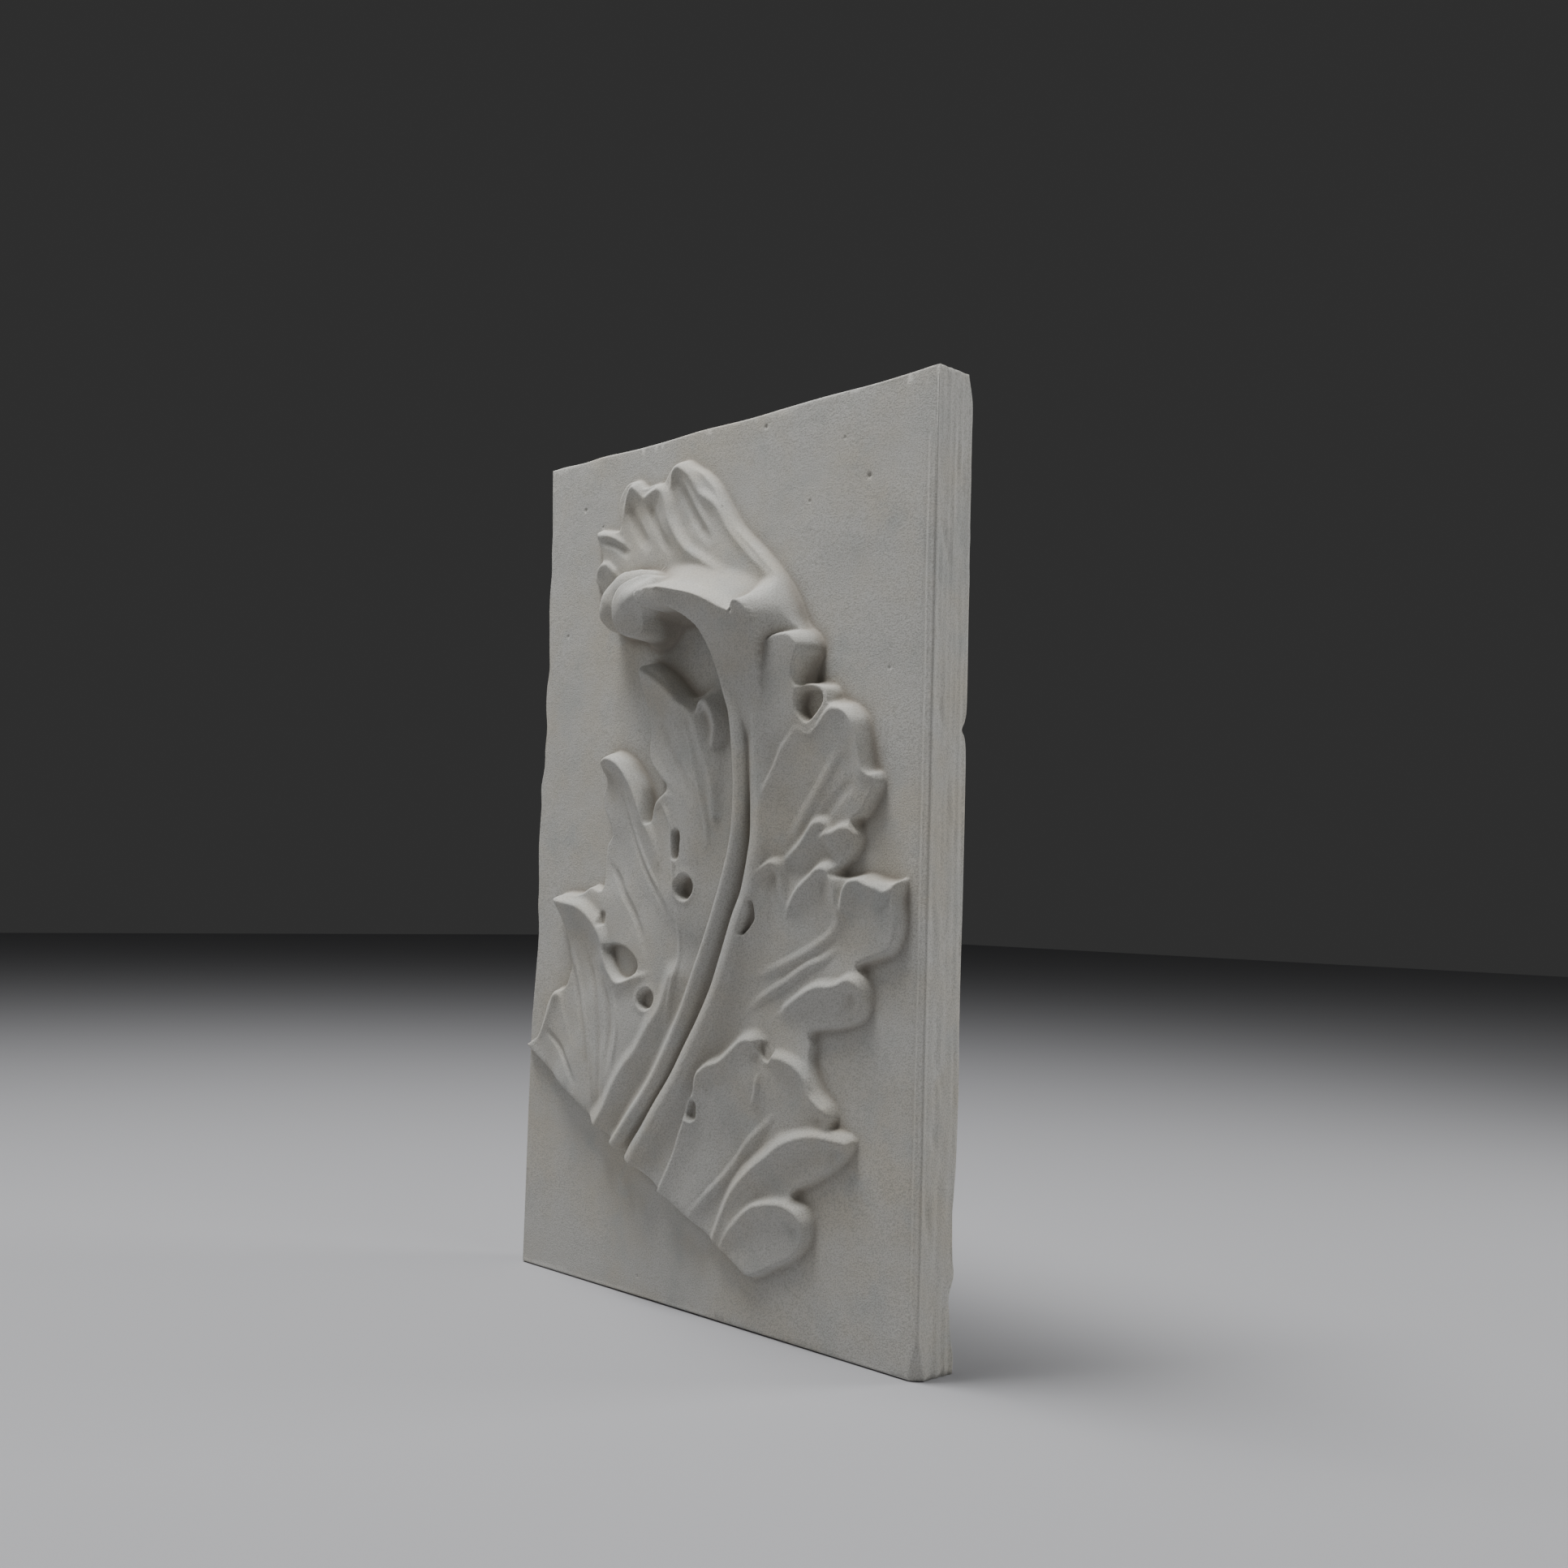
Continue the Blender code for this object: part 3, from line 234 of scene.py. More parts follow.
@dataclass
class Relief:
    """The height of the clay over the slab's face, in millimetres, and the tools that shape it."""

    x: Grid
    z: Grid
    # How fast a leaflet turns down at its rim, and how far a lobe reaches from its rim
    turn: float = 4.0
    reach: float = 60.0
    # Slopes on which a form runs out at last: beyond its rim, and over its face
    lean: float = 0.2
    face_lean: float = 0.02
    # A lobe's face comes down to this far under its sheet, at the latest over this length
    face_sinks: float = 3.0
    face_length: float = 18.0
    # Heights under which a rim or a lobe's back is not made, so that its decay has a length
    least_rim: float = 1.0
    least_drop: float = 0.5
    # Clay lower than this carries less of a rib or of a drilled rim
    full_height: float = 6.0
    # How many times a rib could rise from nothing over its run; half width of a drilled rim
    rib_rises: float = 4.5
    lip_width: float = 3.0
    # Where a part has nothing, its clay lies this deep under the ground
    absent: float = -20.0
    h: Grid = field(init=False)

    def __post_init__(self) -> None:
        """Start from bare ground."""
        self.h = np.zeros(self.x.shape)

    def window(self, path: Grid, reach: float) -> tuple[slice, slice]:
        """The part of the grid within reach of the path.

        Args:
            path: the path's rows.
            reach: how far from it the part goes.

        Returns:
            The rows and the columns of the part.
        """
        low = path[:, :2].min(0) - reach
        high = path[:, :2].max(0) + reach
        across = np.flatnonzero((self.x[0] >= low[0]) & (self.x[0] <= high[0]))
        up = np.flatnonzero((self.z[:, 0] >= low[1]) & (self.z[:, 0] <= high[1]))
        if len(across) == 0 or len(up) == 0:
            return slice(0, 0), slice(0, 0)
        return slice(up[0], up[-1] + 1), slice(across[0], across[-1] + 1)

    def swelling(self, places: tuple, reach: float) -> Grid:
        """A smooth surface near the heights given at scattered places.

        Formula: the mean of the heights, each weighed by a bell of its distance.

        Args:
            places: rows of across, up and height.
            reach: the bell's half width.

        Returns:
            The surface over the whole grid.
        """
        total = np.zeros(self.x.shape)
        weight = np.full(self.x.shape, 1e-12)
        for px, pz, height in places:
            pull = np.exp(-((self.x - px) ** 2 + (self.z - pz) ** 2) / (2 * reach ** 2)) + 1e-9
            total += pull * height
            weight += pull
        return total / weight

    def leaflet(self, body: Grid, fall: float, outline: Outline, wall: float,
                blend: float = 0.9, margin: float = 16.0) -> None:
        """Lay the body over the ground within an outline, turned down towards its rim.

        Formula: within, the body less fall times the decay of the distance to the rim; beyond,
        the rim's height decays to the ground, at first by the wall's steepness.

        Args:
            body: the leaf's swelling surface.
            fall: how far the rim lies under it.
            outline: the rim's nodes.
            wall: steepness of the side.
            blend: roundness of the hollow where it meets what lies under it.
            margin: how far beyond its rim it is worked out.
        """
        path = curve_through(outline, closed=True)
        part = self.window(path, margin)
        x, z = self.x[part], self.z[part]
        far = np.abs(nearest_on(path, x, z)[0])
        rim = np.maximum(body[part] - fall, self.least_rim)
        within = body[part] - fall * np.exp(-far / self.turn)
        beyond = rim * np.exp(-far * wall / rim) - self.lean * far
        form = np.where(inside(path, x, z), within, beyond)
        self.h[part] = over(self.h[part], form, blend)

    def bead(self, crest: list[Node], half_width: float, fall: float, wall: float = 3.0,
             blend: float = 1.4, margin: float = 40.0) -> None:
        """Lay a rounded bead along a curve.

        Formula: the crest's height less the fall times the square of the share of the half
        width, and beyond the half width a straight wall down.

        Args:
            crest: rows of place and height.
            half_width: from the crest to the bead's sides.
            fall: how far its sides lie under its crest.
            wall: steepness beyond its sides.
            blend: roundness of the hollow where it meets what lies under it.
            margin: how far from the crest it is worked out.
        """
        path = curve_through(crest)
        part = self.window(path, margin)
        off, val = nearest_on(path, self.x[part], self.z[part])
        far = np.abs(off)
        share = np.minimum(far / half_width, 1)
        form = val[..., 0] - fall * share ** 2 - np.maximum(far - half_width, 0) * wall
        self.h[part] = over(self.h[part], form, blend)

    def shelf(self, rim: tuple[Node, ...], sheet: Grid | float, base: float = 0.0,
              blend: float = 0.7) -> None:
        """Lay a lobe that is highest along its rim, like a tile turned up at its edge.

        Formula: on the right of the rim's way the rim's rise over the sheet decays, at first by
        the slope of the face; on the left its drop to the base decays, at first by the slope of
        the back. Both lean down a little with the distance.

        Args:
            rim: rows of place, height, slope of the face and slope of the back.
            sheet: heights of the thin body that the face runs out into.
            base: height to which the back comes down.
            blend: roundness of the hollow where it meets what lies under it.
        """
        path = curve_through(rim, steps=6)
        part = self.window(path, self.reach)
        off, val = nearest_on(path, self.x[part], self.z[part])
        far = np.abs(off)
        ground = sheet[part] if isinstance(sheet, np.ndarray) else sheet
        top, face_slope, back_slope = np.moveaxis(val, -1, 0)
        drop = np.maximum(top - base, self.least_drop)
        rise = np.maximum(top - ground, 0) + self.face_sinks
        back = base + drop * np.exp(-far * back_slope / drop) - self.lean * far
        decay = np.maximum(face_slope / rise, 1 / self.face_length)
        face = top - rise * (1 - np.exp(-far * decay)) - self.face_lean * far
        form = np.where(off > 0, back, face)
        self.h[part] = over(self.h[part], form, blend)

    def trim(self, outline: Outline, wall: float, blend: float = 1.6,
             margin: float = 6.0) -> None:
        """Keep only what stands within the outline, with a wall down to the ground round it.

        Formula: the height is held under the wall's slope times the distance in from the outline.

        Args:
            outline: where the form meets the ground.
            wall: steepness of the wall.
            blend: roundness of the edge over the wall.
            margin: how far beyond the outline it is worked out.
        """
        path = curve_through(outline, closed=True, steps=4)
        part = self.window(path, margin)
        x, z = self.x[part], self.z[part]
        far = np.abs(nearest_on(path, x, z)[0])
        depth = np.where(inside(path, x, z), far, -far)
        kept = under(self.h[part], depth * wall, blend)
        self.h = np.full(self.x.shape, self.absent)
        self.h[part] = kept

    def pit(self, floor: float, outline: Outline, wall: float = 3.0, blend: float = 0.8,
            margin: float = 12.0) -> None:
        """Cut a hollow down to a floor.

        Formula: the height is held under the floor plus the wall's slope times the distance out
        from the outline.

        Args:
            floor: height of the floor over the slab.
            outline: edge of the floor.
            wall: steepness of the sides.
            blend: roundness of the edge over the sides.
            margin: how far beyond the outline it is worked out.
        """
        path = curve_through(outline, closed=True, steps=5)
        part = self.window(path, margin)
        x, z = self.x[part], self.z[part]
        out = np.where(inside(path, x, z), 0, np.abs(nearest_on(path, x, z)[0]))
        self.h[part] = under(self.h[part], floor + out * wall, blend)

    def hole(self, floor: float, rim: float, run: tuple[Node, ...], slope: float = 2.4,
             blend: float = 1.0, margin: float = 26.0) -> None:
        """Sink a drilled run to its floor, with a rim raised round it.

        Formula: the lower of the ground and a funnel that rises by slope beyond the drill's
        radius; the rim is a bell of the distance to where the funnel meets the ground.

        Args:
            floor: height of the hole's floor over the slab.
            rim: how high the rim stands.
            run: rows of place and radius.
            slope: steepness of the funnel.
            blend: roundness of the edge over the funnel.
            margin: how far from the run it is worked out.
        """
        path = curve_through(run)
        part = self.window(path, margin)
        off, val = nearest_on(path, self.x[part], self.z[part])
        past = np.abs(off) - val[..., 0]
        ground = self.h[part]
        cut = under(ground, floor + np.maximum(past, 0) * slope, blend)
        lip = past - np.maximum(ground - floor, 0) / slope
        carried = np.clip(ground / self.full_height, 0, 1)
        self.h[part] = cut + rim * np.exp(-(lip / self.lip_width) ** 2) * carried

    def rib(self, height: float, half_width: float, points: Outline) -> None:
        """Raise a rib along the points, or sink a furrow where the height is below nothing.

        Formula: the section is the square of one less the squared share of the half width, and
        it fades over the first and last of the run.

        Args:
            height: height of the rib.
            half_width: from its crest to its foot.
            points: the run.
        """
        share = np.linspace(0, 1, len(points))
        path = curve_through(np.column_stack([points, share]))
        part = self.window(path, half_width + 1)
        off, val = nearest_on(path, self.x[part], self.z[part])
        along = val[..., 0]
        fade = (np.clip(self.rib_rises * along, 0, 1)
                * np.clip(self.rib_rises * (1 - along), 0, 1))
        section = (1 - np.clip(off / half_width, -1, 1) ** 2) ** 2
        self.h[part] += height * fade * section * np.clip(self.h[part] / self.full_height, 0, 1)

    def cut_straight(self, start: Point, end: Point, run: float) -> None:
        """Cut everything on the right of the line from start to end down to the ground.

        Formula: the height times the smooth step of the distance beyond the line over the run.

        Args:
            start: one end of the line.
            end: its other end.
            run: how far the cut face leans.
        """
        (ax, az), (bx, bz) = start, end
        beyond = ((bz - az) * (self.x - ax) - (bx - ax) * (self.z - az))
        beyond /= math.hypot(bx - ax, bz - az)
        self.h = np.maximum(self.h, 0) * ease(1 - beyond / run)


@dataclass
class AcanthusLeaf:
    """Half of an acanthus leaf whose tip curls forward and to the left; places are (across, up)."""

    # How far each given height of a part's thin body, of the curl and of a roll reaches
    sheet_reach: float = 13.0
    curl_reach: float = 13.0
    roll_reach: float = 5.0
    # The thin body under the lobes: place and height
    left_sheet: tuple = (
        (-178, -138, 5), (-150, -120, 7), (-120, -150, 9), (-100, -110, 9), (-130, -80, 7),
        (-112, -52, 8), (-80, -150, 11), (-62, -118, 11), (-75, -35, 8), (-50, -60, 9),
        (-35, -85, 9), (-92, 40, 8), (-82, 0, 6), (-55, 5, 9.5), (-30, 10, 11), (-44, 80, 9.5),
        (-45, 110, 11), (-25, 65, 12), (-12, 85, 13), (-4, 40, 13.5), (-8, 10, 14), (-2, -30, 12.5),
        (30, 60, 6), (32, 92, 4), (36, 30, 4.5), (33, 0, 4), (24, -34, 4.5), (10, -66, 5),
        (-10, -98, 5.5), (-28, -125, 5.5), (-50, -155, 5.5), (-76, -185, 5.5), (-18, -66, 8),
        (20, 30, 9), (14, 0, 9.5), (6, -36, 9), (-30, -110, 6.5), (20, 104, 2), (28, 104, 2),
        (36, 100, 2), (10, 112, 2), (14, 121, 0), (26, 118, 0), (34, 112, 0), (2, 118, 0),
        (-30, 122, 13), (-50, 132, 13))
    right_sheet: tuple = (
        (76, 50, 12), (76, 86, 14), (84, 108, 14), (80, 128, 18.5), (80, 22, 8), (72, 125, 22),
        (73, 110, 19.5), (70, 92, 18), (72, 140, 23), (66, 100, 19),
        (92, 60, 12), (94, 40, 9), (112, 76, 13), (112, 58, 10.5), (128, 82, 12.5),
        (138, 62, 8), (124, 50, 8), (104, 32, 6.5),
        (98, 10, 5), (124, 6, 4), (138, 12, 7), (88, 0, 5), (115, 12, 8), (74, 8, 8),
        (66, -30, 12), (74, -40, 10), (62, -60, 10), (92, -34, 7), (108, -28, 9),
        (114, -44, 6.5), (132, -46, 5), (155, -30, 9), (158, -50, 6), (88, -62, 7),
        (75, -88, 7.5), (104, -90, 6.5), (130, -86, 7.5), (142, -97, 4), (56, -98, 7.5),
        (84, -108, 6), (105, -104, 5), (30, -115, 7), (10, -136, 7), (30, -148, 12.5),
        (50, -138, 12), (50, -160, 8.5), (85, -140, 9), (100, -150, 6.5), (76, -164, 5),
        (15, -176, 10), (12, -196, 8), (-8, -212, 9), (34, -186, 5), (100, -186, 5), (128, -175, 4),
        (52, -212, 4), (34, -230, 4.5), (76, -226, 9), (76, -242, 4.5), (98, -230, 5),
        (54, -240, 6.5), (92, -192, 5), (110, -180, 5),
        (54, 60, 6), (54, 30, 5), (53, 8, 5), (46, -25, 6), (20, -85, 7), (-10, -130, 7),
        (-45, -178, 7), (-60, -205, 7), (44, -42, 7), (34, -72, 7), (10, -112, 7), (-20, -160, 7))
    fan_sheet: tuple = (
        (88, 160, 6), (70, 185, 6.5), (46, 208, 7), (28, 226, 7), (10, 246, 6.5), (-8, 260, 6.5),
        (-34, 270, 6), (70, 160, 9), (45, 185, 10), (20, 200, 10.5), (-10, 215, 9),
        (-32, 238, 6), (-55, 255, 5.5), (-85, 262, 5.5), (-85, 240, 5), (-60, 222, 7.5),
        (-125, 238, 4.5), (-105, 226, 5), (-122, 208, 4), (-85, 208, 7), (76, 120, -5),
        (44, 108, -5), (30, 128, -5), (10, 140, -5), (0, 150, -5), (-25, 150, -5),
        (-50, 140, -5), (-80, 148, -5), (-104, 158, -5), (-112, 182, -3))
    curl_body: tuple = (
        (72, 145, 28), (72, 151, 32), (70, 157, 36), (64, 162, 40), (58, 159, 41), (53, 160, 42),
        (37, 167, 45), (23, 172, 46.5), (7, 176, 47), (-12, 180, 47), (-26, 181, 46),
        (37, 106, 20), (34, 114, 20.5), (29, 127, 22), (23, 141, 24), (18, 152, 27), (11, 159, 31),
        (2, 164, 34), (-8, 169, 38), (-20, 171, 40), (70, 137, 24), (66, 110, 20), (66, 94, 18.5),
        (50, 110, 21), (48, 130, 25), (45, 148, 33), (62, 130, 25), (58, 96, 17),
        (48, 90, 16), (64, 66, 12), (56, 66, 11), (50, 66, 12), (57, 46, 6), (57, 80, 14))
    # How far the rim falls below the body, the body's height at places, then the outline
    rolls: tuple = (
        (5.0, ((-60, 197, 22), (-74, 194, 25), (-90, 188, 24), (-98, 177, 23), (-94, 167, 20),
               (-84, 165, 18), (-48, 197, 19), (-76, 178, 24)),
         ((-46, 200), (-60, 203), (-75, 202), (-88, 197), (-98, 190), (-103, 181), (-103, 172),
          (-97, 165), (-88, 161), (-78, 160), (-66, 164), (-60, 178), (-48, 188), (-40, 194))),
        (1.5, ((-31, 178, 45), (-40, 176, 41.5), (-52, 173, 38), (-62, 171, 35.5),
               (-66, 165, 33.5), (-63, 159, 31), (-57, 156, 29.5), (-50, 156, 28),
               (-45, 159, 28), (-41, 164, 29), (-36, 169, 33), (-30, 173, 40), (-52, 165, 33),
               (-66, 172, 35), (-66, 180, 35), (-60, 187, 34.5), (-50, 191, 32), (-40, 192, 29),
               (-31, 192, 27), (-52, 181, 38), (-40, 183, 39.5), (-31, 184, 42), (-24, 182, 45.5),
               (-20, 188, 36)),
         ((-22, 190), (-32, 194), (-42, 195), (-52, 193), (-62, 188), (-68, 180), (-69, 171),
          (-68, 162), (-63, 156), (-57, 153.5), (-50, 153), (-44, 155), (-40, 161), (-37, 167),
          (-31, 171), (-25, 175), (-18, 182))),
        (2.0, ((106, 96, 14.5),),
         ((94, 91), (97, 84), (106, 78), (113, 82), (120, 90), (122, 98), (119, 107), (112, 110),
          (103, 111), (95, 108), (93, 100))))
    # A lobe's rim from its left end to its right: place, height, slope of the face under it
    # and slope of the back over it
    fan_shelves: tuple = (
        ((-97, 250, 6, 0.18, 2.5), (-94, 257, 8, 0.18, 2.2), (-89, 265, 9.5, 0.22, 2.0),
         (-84, 268, 10, 0.25, 1.8), (-79, 264, 9, 0.22, 1.6), (-73, 259, 7.5, 0.18, 1.4),
         (-66, 260, 9, 0.25, 1.3), (-56, 262, 10, 0.25, 1.2), (-49, 258, 10.5, 0.25, 1.1),
         (-44, 249, 11, 0.25, 1.0), (-40, 238, 11.5, 0.25, 0.9), (-32, 226, 12, 0.22, 0.8),
         (-20, 214, 12.5, 0.20, 0.7), (-3, 204, 13, 0.16, 0.6), (14, 195, 13, 0.14, 0.5),
         (32, 186, 12, 0.12, 0.4)),
        ((-45, 258, 6, 0.40, 2.0), (-43, 265, 8, 0.40, 2.0), (-40, 271, 10, 0.40, 2.0),
         (-33, 274, 11, 0.40, 1.8), (-23, 268, 11, 0.32, 1.2), (-16, 260, 10.5, 0.27, 0.9),
         (-10, 252, 10, 0.25, 0.8), (0, 246, 10, 0.25, 1.0), (7, 241, 10, 0.25, 1.5),
         (13, 234, 10, 0.22, 1.8), (21, 223, 10, 0.20, 2.0), (33, 211, 10, 0.18, 2.0),
         (45, 200, 10, 0.16, 1.9), (56, 191, 9.5, 0.14, 1.8), (68, 180, 9, 0.11, 1.8),
         (78, 170, 8.5, 0.09, 1.8), (84, 160, 8, 0.07, 1.8), (88, 148, 7.5, 0.05, 1.8)),
        ((-26, 262, 9, 0.09, 0.9), (-17, 250, 9.5, 0.09, 0.7), (-10, 239, 9.5, 0.09, 0.5),
         (-1, 226, 9.5, 0.09, 0.4), (8, 214, 9, 0.09, 0.3)),
        ((-128, 236, 4, 0.27, 2.0), (-126, 239, 6.5, 0.27, 2.0), (-119, 238, 7.5, 0.27, 1.6),
         (-108, 235, 7.5, 0.27, 1.2), (-96, 229, 7, 0.18, 1.0)),
        ((-128, 207, 3, 0.27, 2.0), (-126, 212, 6, 0.27, 2.0), (-120, 216, 7, 0.27, 2.0),
         (-112, 215, 7.5, 0.18, 1.6), (-104, 209, 7.5, 0.18, 1.0)))
    left_shelves: tuple = (
        # far left
        ((-184, -141, 3, 0.20, 2.0), (-176, -131, 6, 0.20, 2.0), (-168, -120, 8, 0.20, 2.0),
         (-161, -107, 9, 0.20, 2.0), (-156, -99, 10, 0.20, 2.0), (-150, -99, 9, 0.20, 1.0),
         (-144, -112, 8, 0.20, 0.6), (-132, -136, 8, 0.20, 0.4)),
        # low leaf: the spike, then its edge over the round hollow
        ((-158, -29, 12, 0.39, 3.0), (-140, -31, 15, 0.44, 2.4), (-124, -34, 15, 0.44, 1.3),
         (-111, -41, 14.5, 0.39, 1.1), (-101, -50, 14, 0.34, 1.2), (-95, -59, 13.5, 0.26, 2.2),
         (-93, -70, 13, 0.21, 3.0), (-86, -80, 12.5, 0.16, 3.0), (-78, -85, 13, 0.13, 3.0),
         (-66, -82, 13, 0.10, 3.0), (-56, -79, 11, 0.10, 2.0)),
        # edge of the low leaf over the blade
        ((-104, -196, 14, 0.47, 0.3), (-98, -188, 14, 0.47, 0.3), (-87, -174, 14, 0.47, 0.3),
         (-75, -154, 14, 0.44, 0.25), (-65, -141, 13.5, 0.39, 0.2), (-55, -131, 13, 0.34, 0.2),
         (-44, -115, 12.5, 0.26, 0.2), (-31, -99, 12, 0.21, 0.2), (-22, -78, 12, 0.16, 0.2)),
        # middle leaf
        ((-106, 64, 10, 0.26, 2.5), (-104, 70, 14, 0.26, 3.5), (-96, 73, 15.5, 0.26, 4.5),
         (-85, 70, 15.5, 0.23, 9.0), (-75, 62, 15, 0.21, 11.0), (-67, 52, 14.5, 0.18, 11.0),
         (-62, 44, 14.5, 0.16, 9.0), (-55, 31, 14, 0.13, 3.0), (-45, 15, 13, 0.10, 0.5),
         (-38, -1, 12, 0.08, 0.3)),
        ((-48, 24, 8, 0.16, 2.4), (-43, 37, 12.5, 0.16, 2.4), (-37, 42, 13.5, 0.16, 2.4),
         (-29, 45, 13.5, 0.16, 2.2), (-20, 42, 12.5, 0.16, 1.6), (-12, 36, 11, 0.16, 1.2)),
        # top leaf: its lower left edge, its rim and the teardrop beside it
        ((4, 26, 7, 0.03, 2.0), (-9, 36, 12, 0.03, 2.4), (-21, 47, 13, 0.03, 2.4),
         (-34, 55, 13, 0.03, 2.4), (-47, 65, 12.5, 0.03, 2.2), (-51, 77, 11, 0.03, 1.6),
         (-51, 88, 10, 0.03, 1.0)),
        ((-61, 134, 15, 0.21, 2.0), (-57, 132, 17.5, 0.21, 1.9), (-43, 125, 17.5, 0.20, 1.9),
         (-30, 117, 17.5, 0.18, 2.0), (-19, 108, 17, 0.16, 2.2), (-9, 102, 16, 0.13, 2.2),
         (-4, 96, 15, 0.13, 0.8), (4, 76, 14, 0.07, 0.6), (14, 55, 13, 0.07, 0.6),
         (17, 30, 11, 0.07, 0.5)),
        ((-5, 90, 12, 0.16, 2.0), (0, 103, 15, 0.18, 2.2), (6, 107, 16, 0.18, 2.2),
         (13, 102, 16, 0.18, 2.2), (17, 90, 14, 0.16, 1.6), (13, 76, 11, 0.13, 1.0)))
    stem_shelves: tuple = (
        # first bead, from the foot to the inner arc of the curl
        ((-97, -219, 14, 1.3, 0.6), (-86, -207, 14, 1.3, 0.6), (-75, -196, 14, 1.3, 0.6),
         (-56, -174, 14.5, 1.3, 0.6), (-35, -150, 15, 1.3, 0.6), (-18, -125, 15.5, 1.3, 0.6),
         (-3, -99, 16, 1.3, 0.8), (9, -74, 17, 1.3, 1.1), (20, -51, 17.5, 1.3, 1.6),
         (30, -28, 18, 1.4, 2.2), (39, -5, 19, 1.5, 2.6), (45, 18, 19.5, 1.9, 2.6),
         (47, 47, 20, 1.9, 2.6), (45, 77, 20.5, 1.6, 2.6), (41, 97, 21, 0.9, 2.0),
         (36, 109, 22, 0.6, 5.0), (29, 127, 23.5, 0.5, 6.0), (23, 141, 26, 0.5, 6.0),
         (18, 152, 29, 0.5, 6.0)),
        # second bead
        ((-68, -226, 14, 0.3, 0.7), (-58, -212, 14, 0.3, 0.7), (-49, -199, 14.5, 0.3, 0.7),
         (-38, -186, 15, 0.3, 0.7), (-25, -169, 15.5, 0.3, 0.7), (-7, -147, 16, 0.3, 0.7),
         (8, -125, 16.5, 0.3, 0.7), (22, -104, 17, 0.3, 0.7), (33, -85, 17.5, 0.3, 0.7),
         (42, -64, 18, 0.3, 0.7), (52, -38, 18, 0.35, 0.8), (60, -21, 18, 0.45, 1.0),
         (66, 3, 18, 0.5, 1.2), (67, 18, 18, 0.5, 1.2), (65, 44, 18, 0.5, 1.2),
         (62, 70, 18, 0.5, 1.0), (60, 96, 18.5, 0.4, 0.7), (59, 112, 19, 0.4, 0.7)),
        # third bead, the left edge of the fourth lobe
        ((-29, -226, 13, 0.10, 1.6), (-25, -219, 13, 0.10, 1.6), (-13, -198, 13, 0.10, 1.6),
         (-7, -184, 13.5, 0.10, 1.6), (0, -170, 14, 0.10, 1.6), (8, -154, 14.5, 0.10, 1.6),
         (11, -144, 15.5, 0.12, 1.6), (13, -139, 15.5, 0.12, 1.4)))
